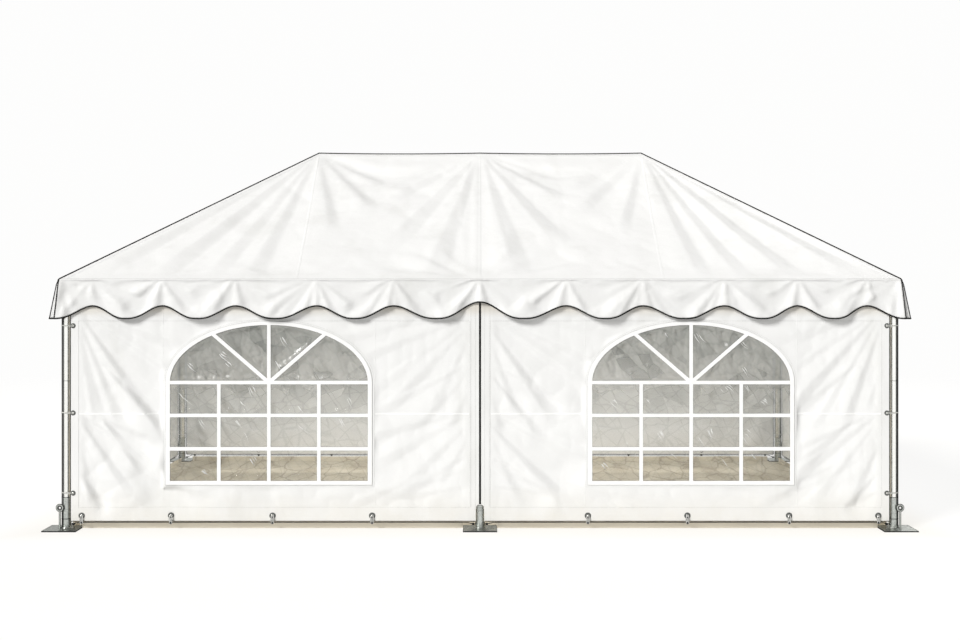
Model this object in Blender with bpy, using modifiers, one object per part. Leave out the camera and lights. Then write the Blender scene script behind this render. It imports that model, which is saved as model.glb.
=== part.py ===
"""Frame marquee, 8 m by 5 m, with a hipped fabric roof, scalloped valances and closed walls.

Metres, +Z up. The origin is on the ground under the middle of the tent, +X runs along its length
and the front, with the two arched windows, faces -Y.
"""
import math

import bmesh
import bpy
import numpy
from mathutils import Matrix, Vector

# Plan and heights
BAY = 4.0
BAY_COUNT = 2
HALF_LENGTH = BAY * BAY_COUNT / 2
HALF_DEPTH = 2.5
EAVE_OVERHANG = 0.060
EAVE_Z = 2.41
RIDGE_Z = 3.875
HALF_RIDGE = 1.86

# Clearance between pieces that touch
GAP = 0.0003

# Frame sections
POST_RADIUS = 0.040
RAIL_WIDTH = 0.080
RAIL_HEIGHT = 0.080
BEAM_WIDTH = 0.060
BEAM_HEIGHT = 0.080
BEAM_OVERRUN = 0.020
RAFTER_RADIUS = 0.025
RAFTER_DROP = 0.064
ROUND_SIDES = 24
SLIM_SIDES = 12
TUBE_EDGE = 0.004

# Base plates, sleeves and pegs
PLATE_SIZE = 0.32
PLATE_THICKNESS = 0.010
PLATE_CORNER = 0.012
PLATE_SHIFT_X = 0.020
PLATE_SHIFT_Y = 0.030
SLEEVE_RADIUS = 0.046
SLEEVE_CHAMFER = 0.004
CORNER_SLEEVE_Z = 0.310
MIDDLE_SLEEVE_Z = 0.235
GROOVE_Z = 0.100
GROOVE_HEIGHT = 0.007
GROOVE_DEPTH = 0.002
COLLAR_Z = 0.186
COLLAR_HEIGHT = 0.026
COLLAR_PROUD = 0.003
WELD_WIDTH = 0.008
WELD_HEIGHT = 0.012
PEG_OFFSET_X = 0.047
PEG_OFFSET_Y = 0.058
PEG_RADIUS = 0.010
RING_Z = 0.210
RING_RADIUS = 0.029
RING_WIRE = 0.008

# Fabric
SKIN = 0.006
VALANCE_SKIN = 0.004
LOBE_Z = 2.034
CREST_Z = 2.155
MIDDLE_CREST_Z = 2.193
LONG_CRESTS = (0.0, 0.835, 1.575, 2.36, 3.065, 3.74)
END_CREST_COUNT = 3
VALANCE_CORNER = 4.094
LONG_VALANCE_FLARE = 0.030
END_VALANCE_FLARE = 0.090
CREST_SHARPNESS = 1.3
SCALLOP_STEPS = 8

# Walls
WALL_BOTTOM = 0.078
WALL_TOP = 2.395
WALL_CORNER_GAP = 0.049
WALL_JOINT_GAP = 0.003
NOTCH_HALF_WIDTH = 0.040
NOTCH_SPRING_Z = 0.200
NOTCH_RISE = 0.043
NOTCH_STEPS = 6
JOINT_WIDTH = 0.020
JOINT_THICKNESS = 0.003

# Windows
WINDOW_X = 2.035
GLASS_HALF_WIDTH = 0.953
GLASS_BOTTOM = 0.469
SPRING_Z = 1.417
GLASS_RISE = 0.554
FRAME_WIDTH = 0.042
FRAME_BOTTOM_WIDTH = 0.039
FRAME_RISE = 0.035
BAR_WIDTH = 0.036
BAR_THICKNESS = 0.006
SIDE_BAR_X = 0.482
ROW_BARS_Z = (0.778, 1.100, SPRING_Z)
FAN_ANGLE = math.radians(40.8)
ARCH_STEPS = 24

# Foot cables and hooks
CABLE_RADIUS = 0.005
CABLE_Z = 0.067
CABLE_FOOT_Z = 0.045
CABLE_RUN_IN = 0.075
HOOK_RADIUS = 0.008
HOOK_LOW_Z = 0.052
HOOK_HIGH_Z = 0.140
LONG_HOOKS = (1.04, 2.00, 2.98, 3.84)
END_HOOKS = (-2.28, -1.14, 0.0, 1.14, 2.28)

# Ground sheet
SHEET_THICKNESS = 0.005
SHEET_HALF_LENGTH = 3.98
SHEET_HALF_DEPTH = 2.48

# Worked out from the above
EAVE_X = HALF_LENGTH + EAVE_OVERHANG
EAVE_Y = HALF_DEPTH + EAVE_OVERHANG
RISE = RIDGE_Z - EAVE_Z
LONG_SLOPE = math.atan2(RISE, EAVE_Y)
END_SLOPE = math.atan2(RISE, EAVE_X - HALF_RIDGE)
RAIL_HALF = RAIL_WIDTH / 2
BEAM_HALF = BEAM_WIDTH / 2
SKIN_DEPTH = SKIN / math.cos(LONG_SLOPE)
TUBE_CORNER = TUBE_EDGE * (1 - math.cos(math.pi / 4))
RAIL_CORNER_RUN = EAVE_OVERHANG - RAIL_HALF + TUBE_CORNER
RAIL_TOP = EAVE_Z + RAIL_CORNER_RUN * math.tan(LONG_SLOPE) - SKIN_DEPTH - GAP + TUBE_CORNER
RAIL_BOTTOM = RAIL_TOP - RAIL_HEIGHT
BEAM_CORNER_RUN = BEAM_HALF - TUBE_CORNER
BEAM_TOP = RIDGE_Z - BEAM_CORNER_RUN * math.tan(LONG_SLOPE) - SKIN_DEPTH - GAP + TUBE_CORNER
WALL_OFFSET = RAIL_HALF + GAP + SKIN / 2
FACE_OFFSET = RAIL_HALF + GAP + SKIN + GAP

UP = Vector((0, 0, 1))


class Side:
    """One side of the tent: a direction along it, one outwards, and its reach to the posts."""

    def __init__(self, name, along, reach, end):
        self.name = name
        self.along = Vector(along)
        self.out = self.along.cross(UP)
        self.reach = reach
        self.end = end

    def point(self, run, offset, height):
        return self.along * run + self.out * (self.reach + offset) + UP * height


FRONT = Side("front", (1, 0, 0), HALF_DEPTH, False)
BACK = Side("back", (-1, 0, 0), HALF_DEPTH, False)
LEFT = Side("left", (0, -1, 0), HALF_LENGTH, True)
RIGHT = Side("right", (0, 1, 0), HALF_LENGTH, True)
SIDES = (FRONT, BACK, LEFT, RIGHT)


def clear_scene():
    for item in list(bpy.data.objects):
        bpy.data.objects.remove(item, do_unlink=True)


def new_collection(name):
    collection = bpy.data.collections.new(name)
    bpy.context.scene.collection.children.link(collection)
    return collection


def new_material(name, colour, roughness, metallic=0.0, alpha=1.0):
    material = bpy.data.materials.new(name)
    material.use_nodes = True
    shader = material.node_tree.nodes["Principled BSDF"]
    shader.inputs["Base Color"].default_value = (*colour, 1.0)
    shader.inputs["Roughness"].default_value = roughness
    shader.inputs["Metallic"].default_value = metallic
    shader.inputs["Alpha"].default_value = alpha
    return material


def add_object(name, data, material):
    item = bpy.data.objects.new(name, data)
    PARTS.objects.link(item)
    data.materials.append(material)
    return item


def add_tool(item):
    """Move a helper solid to the cutters, where it shows as wire only."""
    PARTS.objects.unlink(item)
    CUTTERS.objects.link(item)
    item.hide_render = True
    item.display_type = 'WIRE'


def combine(item, tool, operation):
    add_tool(tool)
    step = item.modifiers.new(tool.name, 'BOOLEAN')
    step.operation = operation
    step.solver = 'EXACT'
    step.object = tool


def as_mesh(item):
    """Turn a curve object into a welded mesh object of the same name and place."""
    bpy.context.view_layer.update()
    evaluated = item.evaluated_get(bpy.context.evaluated_depsgraph_get())
    mesh = bpy.data.meshes.new_from_object(evaluated)
    welded = bmesh.new()
    welded.from_mesh(mesh)
    bmesh.ops.remove_doubles(welded, verts=welded.verts, dist=1e-5)
    welded.to_mesh(mesh)
    welded.free()
    name = item.name
    matrix = item.matrix_world.copy()
    bpy.data.objects.remove(item, do_unlink=True)
    solid = bpy.data.objects.new(name, mesh)
    PARTS.objects.link(solid)
    solid.matrix_world = matrix
    return solid


def box(name, low, high, material, edge=0.0):
    """A box from its lowest to its highest corner, with its long edges rounded by edge."""
    low = Vector(low)
    high = Vector(high)
    solid = bmesh.new()
    bmesh.ops.create_cube(solid, size=1.0)
    size = high - low
    bmesh.ops.scale(solid, vec=size, verts=solid.verts)
    mesh = bpy.data.meshes.new(name)
    solid.to_mesh(mesh)
    solid.free()
    item = add_object(name, mesh, material)
    item.location = (low + high) / 2
    if edge:
        longest = max(range(3), key=lambda axis: size[axis])
        round_edges(item, longest, edge)
    return item


def round_edges(item, axis, width):
    """Bevel the edges that run along one local axis."""
    mesh = item.data
    weights = mesh.attributes.new("bevel_weight_edge", 'FLOAT', 'EDGE')
    for edge in mesh.edges:
        start, end = (mesh.vertices[index].co for index in edge.vertices)
        span = end - start
        if abs(span[axis]) > 0.99 * span.length:
            weights.data[edge.index].value = 1.0
    bevel = item.modifiers.new("rounded", 'BEVEL')
    bevel.limit_method = 'WEIGHT'
    bevel.width = width
    bevel.segments = 2


def rod(name, start, end, radius, material, cuts=(), sides=ROUND_SIDES):
    """A round bar from start to end, trimmed by (point, outward normal) planes."""
    start = Vector(start)
    end = Vector(end)
    span = end - start
    solid = bmesh.new()
    bmesh.ops.create_cone(solid, cap_ends=True, segments=sides, radius1=radius,
                          radius2=radius, depth=span.length)
    turn = span.to_track_quat('Z', 'X').to_matrix().to_4x4()
    bmesh.ops.transform(solid, matrix=Matrix.Translation((start + end) / 2) @ turn,
                        verts=solid.verts)
    for place, normal in cuts:
        geometry = solid.verts[:] + solid.edges[:] + solid.faces[:]
        cut = bmesh.ops.bisect_plane(solid, geom=geometry, dist=1e-6, plane_co=place,
                                     plane_no=normal, clear_outer=True)
        rim = [edge for edge in cut["geom_cut"] if isinstance(edge, bmesh.types.BMEdge)]
        bmesh.ops.holes_fill(solid, edges=rim, sides=0)
    bmesh.ops.recalc_face_normals(solid, faces=solid.faces)
    mesh = bpy.data.meshes.new(name)
    solid.to_mesh(mesh)
    solid.free()
    mesh.shade_smooth()
    mesh.set_sharp_from_angle(angle=math.radians(35))
    return add_object(name, mesh, material)


def turned(name, profile, place, material):
    """A closed profile of (radius, height) pairs turned about the vertical at place."""
    outline = bmesh.new()
    corners = [outline.verts.new((radius, 0, height)) for radius, height in profile]
    for index, corner in enumerate(corners):
        outline.edges.new((corner, corners[(index + 1) % len(corners)]))
    mesh = bpy.data.meshes.new(name)
    outline.to_mesh(mesh)
    outline.free()
    item = add_object(name, mesh, material)
    item.location = place
    screw = item.modifiers.new("turned", 'SCREW')
    screw.steps = ROUND_SIDES
    screw.render_steps = ROUND_SIDES
    screw.use_merge_vertices = True
    screw.merge_threshold = 1e-5
    return item


def plate(name, outlines, thickness, origin, along, up, material):
    """A flat sheet: outlines in the plane of along and up, half its thickness to each side."""
    curve = bpy.data.curves.new(name, 'CURVE')
    curve.dimensions = '2D'
    curve.fill_mode = 'BOTH'
    curve.extrude = thickness / 2
    for outline in outlines:
        spline = curve.splines.new('POLY')
        spline.points.add(len(outline) - 1)
        for point, (right, rise) in zip(spline.points, outline):
            point.co = (right, rise, 0, 1)
        spline.use_cyclic_u = True
    item = add_object(name, curve, material)
    normal = along.cross(up)
    item.matrix_world = Matrix((
        (along.x, up.x, normal.x, origin.x),
        (along.y, up.y, normal.y, origin.y),
        (along.z, up.z, normal.z, origin.z),
        (0, 0, 0, 1),
    ))
    return item


def inset(corners, margins):
    """Move each edge of a convex outline, listed counter-clockwise, inwards by its margin."""
    lines = []
    for index, corner in enumerate(corners):
        following = corners[(index + 1) % len(corners)]
        run = numpy.subtract(following, corner)
        inward = numpy.array((-run[1], run[0])) / numpy.hypot(*run)
        lines.append((inward, inward.dot(corner) + margins[index]))
    moved = []
    for index, line in enumerate(lines):
        before = lines[index - 1]
        moved.append(numpy.linalg.solve((before[0], line[0]), (before[1], line[1])))
    return moved


def mitre(angle):
    """How far a sheet stops short of a fold, so that its inner face clears its neighbour."""
    return SKIN * math.tan(angle / 2) + GAP / 2 / math.cos(angle / 2)


def make_posts(material):
    height = RAIL_BOTTOM - GAP
    for row, y in (("front", -HALF_DEPTH), ("back", HALF_DEPTH)):
        for place, x in (("left", -HALF_LENGTH), ("middle", 0.0), ("right", HALF_LENGTH)):
            foot = (x, y, PLATE_THICKNESS + GAP)
            rod(f"{row}_{place}_post", foot, (x, y, height), POST_RADIUS, material)


def sleeve_profile(top, ring_z, ring_height, ring_step):
    """Down the outside past a collar or groove to the weld, then up the post's bore."""
    bore = POST_RADIUS + GAP
    foot = PLATE_THICKNESS / 2
    slant = abs(ring_step)
    return (
        (SLEEVE_RADIUS - SLEEVE_CHAMFER, top),
        (SLEEVE_RADIUS, top - SLEEVE_CHAMFER),
        (SLEEVE_RADIUS, ring_z + ring_height / 2),
        (SLEEVE_RADIUS + ring_step, ring_z + ring_height / 2 - slant),
        (SLEEVE_RADIUS + ring_step, ring_z - ring_height / 2 + slant),
        (SLEEVE_RADIUS, ring_z - ring_height / 2),
        (SLEEVE_RADIUS, PLATE_THICKNESS + WELD_HEIGHT),
        (SLEEVE_RADIUS + WELD_WIDTH, PLATE_THICKNESS),
        (SLEEVE_RADIUS + WELD_WIDTH, foot),
        (bore, foot),
        (bore, top),
    )


def make_bases(material):
    half = PLATE_SIZE / 2
    for row, across in (("front", -1), ("back", 1)):
        for place, side in (("left", -1), ("middle", 0), ("right", 1)):
            name = f"{row}_{place}_base"
            post = Vector((side * HALF_LENGTH, across * HALF_DEPTH, 0))
            centre = post + Vector((side * PLATE_SHIFT_X, across * PLATE_SHIFT_Y, 0))
            low = centre - Vector((half, half, 0))
            high = centre + Vector((half, half, PLATE_THICKNESS))
            base = box(name, low, high, material)
            round_edges(base, 2, PLATE_CORNER)
            if side:
                profile = sleeve_profile(CORNER_SLEEVE_Z, GROOVE_Z, GROOVE_HEIGHT, -GROOVE_DEPTH)
            else:
                profile = sleeve_profile(MIDDLE_SLEEVE_Z, COLLAR_Z, COLLAR_HEIGHT, COLLAR_PROUD)
            combine(base, turned(name + "_sleeve", profile, post, material), 'UNION')
            if side:
                add_peg(base, name, post, side, across, material)


def add_peg(base, name, post, side, across, material):
    """A peg through the plate with a ring for a head, outside and in front of the sleeve."""
    centre = post + Vector((side * PEG_OFFSET_X, across * PEG_OFFSET_Y, RING_Z))
    foot = Vector((centre.x, centre.y, PLATE_THICKNESS / 2))
    neck = centre - UP * (RING_RADIUS - RING_WIRE / 4)
    peg = rod(name + "_peg", foot, neck, PEG_RADIUS, material, sides=SLIM_SIDES)
    combine(base, peg, 'UNION')
    bpy.ops.mesh.primitive_torus_add(major_radius=RING_RADIUS, minor_radius=RING_WIRE,
                                     major_segments=16, minor_segments=6, location=centre,
                                     rotation=(math.pi / 2, 0, 0))
    ring = bpy.context.active_object
    ring.name = name + "_ring"
    ring.data.materials.append(material)
    for owner in list(ring.users_collection):
        owner.objects.unlink(ring)
    PARTS.objects.link(ring)
    combine(base, ring, 'UNION')


def make_rails(material):
    reach = HALF_LENGTH + RAIL_HALF
    for side in (FRONT, BACK):
        centre = side.out * HALF_DEPTH
        low = centre + Vector((-reach, -RAIL_HALF, RAIL_BOTTOM))
        high = centre + Vector((reach, RAIL_HALF, RAIL_TOP))
        box(f"{side.name}_eave_rail", low, high, material, TUBE_EDGE)
    reach = HALF_DEPTH - RAIL_HALF - GAP
    for side in (LEFT, RIGHT):
        centre = side.out * HALF_LENGTH
        low = centre + Vector((-RAIL_HALF, -reach, RAIL_BOTTOM))
        high = centre + Vector((RAIL_HALF, reach, RAIL_TOP))
        box(f"{side.name}_eave_rail", low, high, material, TUBE_EDGE)


def make_ridge_beam(material):
    reach = HALF_RIDGE + BEAM_OVERRUN
    low = (-reach, -BEAM_HALF, BEAM_TOP - BEAM_HEIGHT)
    box("ridge_beam", low, (reach, BEAM_HALF, BEAM_TOP), material, TUBE_EDGE)


def make_rafters(material):
    """Round bars a little below the cover, each cut flat against the rails and the beam."""
    inside_y = HALF_DEPTH - RAIL_HALF - GAP
    inside_x = HALF_LENGTH - RAIL_HALF - GAP
    drop = UP * RAFTER_DROP
    for side, across in (("front", -1), ("back", 1)):
        out = Vector((0, across, 0))
        cuts = [(out * inside_y, out), (out * (BEAM_HALF + GAP), -out)]
        eave = Vector((0, across * EAVE_Y, EAVE_Z)) - drop
        rod(f"{side}_middle_rafter", eave, Vector((0, 0, RIDGE_Z)) - drop, RAFTER_RADIUS,
            material, cuts)
        for place, sign in (("left", -1), ("right", 1)):
            outward = Vector((sign, 0, 0))
            eave = Vector((sign * EAVE_X, across * EAVE_Y, EAVE_Z)) - drop
            peak = Vector((sign * HALF_RIDGE, 0, RIDGE_Z)) - drop
            rod(f"{side}_{place}_hip_rafter", eave, peak, RAFTER_RADIUS, material,
                cuts + [(outward * inside_x, outward)])


def make_roof(material):
    ridge_margin = mitre(2 * LONG_SLOPE)
    hip_margin = mitre(math.acos(math.cos(LONG_SLOPE) * math.cos(END_SLOPE)))
    for side in SIDES:
        slope = END_SLOPE if side.end else LONG_SLOPE
        up = UP * math.sin(slope) - side.out * math.cos(slope)
        length = RISE / math.sin(slope)
        half = EAVE_Y if side.end else EAVE_X
        if side.end:
            corners = [(-half, 0), (half, 0), (0, length)]
            margins = [0, hip_margin, hip_margin]
        else:
            corners = [(-half, 0), (half, 0), (HALF_RIDGE, length), (-HALF_RIDGE, length)]
            margins = [0, hip_margin, ridge_margin, hip_margin]
        normal = side.along.cross(up)
        origin = side.point(0, EAVE_OVERHANG, EAVE_Z) - normal * SKIN / 2
        plate(f"{side.name}_roof", [inset(corners, margins)], SKIN, origin, side.along, up,
              material)


def scallop_edge(crests, corner, middle_z):
    """Points along the scalloped lower edge from -corner to corner, as (run, height)."""
    ends = [-crest for crest in reversed(crests[1:])] + list(crests)
    points = []
    step = 1.0 / SCALLOP_STEPS
    last = 2 * corner - ends[-1]
    for start, end in zip([-last] + ends, ends + [last]):
        for index in range(SCALLOP_STEPS):
            share = index * step
            run = start + (end - start) * share
            if abs(run) > corner - 1e-6:
                continue
            nearest = start if share < 0.5 else end
            crest_z = middle_z if abs(nearest) < 1e-6 else CREST_Z
            lift = ((1 + math.cos(math.tau * share)) / 2) ** CREST_SHARPNESS
            points.append((run, LOBE_Z + (crest_z - LOBE_Z) * lift))
    return [(-corner, LOBE_Z)] + points + [(corner, LOBE_Z)]


def make_valances(material):
    end_pitch = 2 * EAVE_Y / (2 * END_CREST_COUNT + 1)
    end_crests = [end_pitch * index for index in range(END_CREST_COUNT + 1)]
    for side in SIDES:
        flare = END_VALANCE_FLARE if side.end else LONG_VALANCE_FLARE
        lean = math.atan2(flare, EAVE_Z - LOBE_Z)
        up = UP * math.cos(lean) - side.out * math.sin(lean)
        if side.end:
            edge = scallop_edge(end_crests, EAVE_Y, CREST_Z)
            top = EAVE_Y
        else:
            edge = scallop_edge(LONG_CRESTS, VALANCE_CORNER, MIDDLE_CREST_Z)
            top = EAVE_X
        drop = [(run, (height - EAVE_Z) / math.cos(lean)) for run, height in edge]
        origin = side.point(0, EAVE_OVERHANG + GAP, EAVE_Z)
        origin += side.along.cross(up) * VALANCE_SKIN / 2
        plate(f"{side.name}_valance", [drop + [(top, 0), (-top, 0)]], VALANCE_SKIN, origin,
              side.along, up, material)


def arch_outline(half_width, bottom, rise):
    """A window outline round its own centre line: square below, half an ellipse above."""
    points = [(-half_width, bottom), (half_width, bottom)]
    for index in range(ARCH_STEPS + 1):
        angle = math.pi * index / ARCH_STEPS
        points.append((half_width * math.cos(angle), SPRING_Z + rise * math.sin(angle)))
    return points


def shifted(points, run):
    return [(right + run, height) for right, height in points]


def wall_sheet(name, side, outlines, thickness, offset, material):
    origin = side.point(0, offset, 0)
    return plate(name, outlines, thickness, origin, side.along, UP, material)


def make_walls(material):
    """Two panels on each long side, meeting over the middle post, and one on each end."""
    glass = arch_outline(GLASS_HALF_WIDTH, GLASS_BOTTOM, GLASS_RISE)
    outer = HALF_LENGTH - WALL_CORNER_GAP
    half_panel = [
        (NOTCH_HALF_WIDTH, WALL_BOTTOM),
        (outer, WALL_BOTTOM),
        (outer, WALL_TOP),
        (WALL_JOINT_GAP, WALL_TOP),
    ]
    last_angle = math.acos(WALL_JOINT_GAP / NOTCH_HALF_WIDTH)
    for index in range(NOTCH_STEPS + 1):
        angle = last_angle * (1 - index / NOTCH_STEPS)
        half_panel.append((NOTCH_HALF_WIDTH * math.cos(angle),
                           NOTCH_SPRING_Z + NOTCH_RISE * math.sin(angle)))
    for side in (FRONT, BACK):
        for place, sign in (("left", -1), ("right", 1)):
            turn = sign * side.along.x
            outlines = [[(turn * run, height) for run, height in half_panel]]
            if side is FRONT:
                outlines.append(shifted(glass, sign * WINDOW_X))
            wall_sheet(f"{side.name}_{place}_wall", side, outlines, SKIN, WALL_OFFSET, material)
    outer = HALF_DEPTH - WALL_CORNER_GAP
    panel = [(-outer, WALL_BOTTOM), (outer, WALL_BOTTOM), (outer, WALL_TOP), (-outer, WALL_TOP)]
    for side in (LEFT, RIGHT):
        wall_sheet(f"{side.name}_wall", side, [panel], SKIN, WALL_OFFSET, material)


def make_wall_joints(material):
    half = JOINT_WIDTH / 2
    foot = NOTCH_SPRING_Z + NOTCH_RISE
    outline = [(-half, foot), (half, foot), (half, WALL_TOP), (-half, WALL_TOP)]
    for side in (FRONT, BACK):
        wall_sheet(f"{side.name}_wall_joint", side, [outline], JOINT_THICKNESS,
                   FACE_OFFSET + JOINT_THICKNESS / 2, material)


def make_windows(film_material, bar_material):
    """Clear film set in each opening, and white bars with their frame over its face."""
    film = arch_outline(GLASS_HALF_WIDTH - GAP, GLASS_BOTTOM + GAP, GLASS_RISE - GAP)
    inner = arch_outline(GLASS_HALF_WIDTH, GLASS_BOTTOM, GLASS_RISE)
    outer = arch_outline(GLASS_HALF_WIDTH + FRAME_WIDTH, GLASS_BOTTOM - FRAME_BOTTOM_WIDTH,
                         GLASS_RISE + FRAME_RISE)
    for place, sign in (("left", -1), ("right", 1)):
        centre = sign * WINDOW_X
        wall_sheet(f"{place}_window_film", FRONT, [shifted(film, centre)], SKIN, WALL_OFFSET,
                   film_material)
        name = f"{place}_window_bars"
        offset = FACE_OFFSET + BAR_THICKNESS / 2
        frame = as_mesh(wall_sheet(name, FRONT, [shifted(outer, centre), shifted(inner, centre)],
                                   BAR_THICKNESS, offset, bar_material))
        for index, (start, end) in enumerate(window_bars()):
            bar = as_mesh(wall_sheet(f"{name}_{index}", FRONT, [bar_outline(start, end, centre)],
                                     BAR_THICKNESS, offset, bar_material))
            combine(frame, bar, 'UNION')


def window_bars():
    """Centre lines of the bars, from frame to frame, round the window's own centre line."""
    edge = GLASS_HALF_WIDTH + FRAME_WIDTH / 2
    low = GLASS_BOTTOM - FRAME_BOTTOM_WIDTH / 2
    top = SPRING_Z + GLASS_RISE + FRAME_RISE / 2
    bars = [((0, low), (0, top))]
    for x in (-SIDE_BAR_X, SIDE_BAR_X):
        bars.append(((x, low), (x, SPRING_Z)))
    for z in ROW_BARS_Z:
        bars.append(((-edge, z), (edge, z)))
    for sign in (-1, 1):
        across = math.cos(FAN_ANGLE) / edge
        rise = math.sin(FAN_ANGLE) / (top - SPRING_Z)
        reach = 1 / math.hypot(across, rise)
        tip = (sign * reach * math.cos(FAN_ANGLE), SPRING_Z + reach * math.sin(FAN_ANGLE))
        bars.append(((0, SPRING_Z), tip))
    return bars


def bar_outline(start, end, centre):
    start = Vector(start)
    end = Vector(end)
    beside = (end - start).normalized().orthogonal() * BAR_WIDTH / 2
    corners = (start - beside, start + beside, end + beside, end - beside)
    return shifted([(corner.x, corner.y) for corner in corners], centre)


def cable_route(side, start, end):
    """Out of one sleeve, along the foot of the wall, and into the next sleeve."""
    seat = SLEEVE_RADIUS + GAP
    low = start + seat
    high = end - seat
    return [
        side.point(low, 0, CABLE_FOOT_Z),
        side.point(low + CABLE_RUN_IN / 4, 0, CABLE_FOOT_Z),
        side.point(low + CABLE_RUN_IN, WALL_OFFSET, CABLE_Z),
        side.point(high - CABLE_RUN_IN, WALL_OFFSET, CABLE_Z),
        side.point(high - CABLE_RUN_IN / 4, 0, CABLE_FOOT_Z),
        side.point(high, 0, CABLE_FOOT_Z),
    ]


def make_cable(name, side, start, end, hooks, material):
    curve = bpy.data.curves.new(name, 'CURVE')
    curve.dimensions = '3D'
    curve.bevel_depth = CABLE_RADIUS
    curve.bevel_resolution = 1
    curve.use_fill_caps = True
    route = cable_route(side, start, end)
    spline = curve.splines.new('POLY')
    spline.points.add(len(route) - 1)
    for point, place in zip(spline.points, route):
        point.co = (*place, 1)
    cable = as_mesh(add_object(name, curve, material))
    offset = FACE_OFFSET + HOOK_RADIUS
    for index, run in enumerate(hooks):
        hook = rod(f"{name}_hook_{index}", side.point(run, offset, HOOK_LOW_Z),
                   side.point(run, offset, HOOK_HIGH_Z), HOOK_RADIUS, material,
                   sides=SLIM_SIDES)
        combine(cable, hook, 'UNION')


def make_cables(material):
    for side in (FRONT, BACK):
        for place, sign in (("left", -1), ("right", 1)):
            turn = sign * side.along.x
            hooks = [turn * run for run in LONG_HOOKS]
            start, end = sorted((0.0, turn * HALF_LENGTH))
            make_cable(f"{side.name}_{place}_cable", side, start, end, hooks, material)
    for side in (LEFT, RIGHT):
        make_cable(f"{side.name}_cable", side, -HALF_DEPTH, HALF_DEPTH, END_HOOKS, material)


def make_ground_sheet(material):
    """A floor sheet with its corners and middles cut back round the base plates."""
    half = PLATE_SIZE / 2 + GAP
    corner_x = HALF_LENGTH + PLATE_SHIFT_X - half
    corner_y = HALF_DEPTH + PLATE_SHIFT_Y - half
    quarter = [
        (half, corner_y),
        (half, SHEET_HALF_DEPTH),
        (corner_x, SHEET_HALF_DEPTH),
        (corner_x, corner_y),
        (SHEET_HALF_LENGTH, corner_y),
    ]
    upper = quarter + [(SHEET_HALF_LENGTH, -corner_y)]
    lower = [(x, -y) for x, y in reversed(quarter[:-1])]
    right = upper + lower
    left = [(-x, -y) for x, y in right]
    outline = right + left
    origin = Vector((0, 0, SHEET_THICKNESS / 2))
    plate("ground_sheet", [outline], SHEET_THICKNESS, origin, Vector((1, 0, 0)),
          Vector((0, 1, 0)), material)


clear_scene()
PARTS = new_collection("marquee_tent")
CUTTERS = new_collection("cutters")

aluminium = new_material("aluminium", (0.60, 0.60, 0.58), 0.38, metallic=0.9)
steel = new_material("steel", (0.36, 0.36, 0.35), 0.45, metallic=0.9)
canopy = new_material("canopy", (0.88, 0.88, 0.86), 0.55)
walling = new_material("walling", (0.87, 0.87, 0.85), 0.58)
clear_film = new_material("clear_film", (0.72, 0.74, 0.72), 0.12, alpha=0.35)
glazing_bars = new_material("glazing_bars", (0.90, 0.90, 0.89), 0.45)
binding = new_material("binding", (0.03, 0.03, 0.03), 0.70)
cord = new_material("cord", (0.06, 0.06, 0.05), 0.65)
sheeting = new_material("sheeting", (0.52, 0.47, 0.36), 0.75)

make_posts(aluminium)
make_bases(steel)
make_rails(aluminium)
make_ridge_beam(aluminium)
make_rafters(aluminium)
make_roof(canopy)
make_valances(canopy)
make_walls(walling)
make_wall_joints(binding)
make_windows(clear_film, glazing_bars)
make_cables(cord)
make_ground_sheet(sheeting)
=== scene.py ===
import math

import bpy
import numpy as np
from mathutils import Matrix, Vector


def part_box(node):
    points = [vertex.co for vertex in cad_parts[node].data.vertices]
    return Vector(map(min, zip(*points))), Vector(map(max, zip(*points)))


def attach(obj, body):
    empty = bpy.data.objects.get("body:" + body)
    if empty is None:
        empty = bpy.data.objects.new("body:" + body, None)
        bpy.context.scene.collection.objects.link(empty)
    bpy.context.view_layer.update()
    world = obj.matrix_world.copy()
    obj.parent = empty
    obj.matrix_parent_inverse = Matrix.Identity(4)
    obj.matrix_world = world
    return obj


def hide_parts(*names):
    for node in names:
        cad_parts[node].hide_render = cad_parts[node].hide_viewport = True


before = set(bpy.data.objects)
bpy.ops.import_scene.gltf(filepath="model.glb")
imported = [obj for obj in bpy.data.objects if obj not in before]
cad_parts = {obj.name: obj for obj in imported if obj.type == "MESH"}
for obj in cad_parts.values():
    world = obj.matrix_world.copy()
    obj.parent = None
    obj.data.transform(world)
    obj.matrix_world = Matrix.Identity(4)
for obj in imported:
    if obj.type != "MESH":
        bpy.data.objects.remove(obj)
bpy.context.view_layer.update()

UP = Vector((0, 0, 1))

# Plan and heights, read from the frame
POST_LOW, POST_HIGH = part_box("back_right_post")
CORNER_POST = (POST_LOW + POST_HIGH) / 2
HALF_LENGTH = CORNER_POST.x
HALF_DEPTH = CORNER_POST.y
POST_RADIUS = POST_HIGH.x - HALF_LENGTH
POST_TOP = POST_HIGH.z
EAVE_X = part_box("front_roof")[1].x
EAVE_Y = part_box("left_roof")[1].y
EAVE_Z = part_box("front_valance")[1].z
LOBE_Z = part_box("front_valance")[0].z

# Roof
RIDGE_Z = 3.875
HALF_RIDGE = 1.86
RISE = RIDGE_Z - EAVE_Z
LONG_SLOPE = math.atan2(RISE, EAVE_Y)
END_SLOPE = math.atan2(RISE, EAVE_X - HALF_RIDGE)
RIDGE_SAG = 0.010
ROOF_HEM = 0.055
SEAM_DIP = 0.024
SEAM_FOOT_X = 1.77
ROOF_LIMIT = 0.110
PIPING_LIFT = 0.003
RIDGE_PIPING = 0.0085
HIP_PIPING = 0.0080
ROOF_CRUMPLE = 0.013
ROOF_CRUMPLE_SIZE = 0.38

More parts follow.
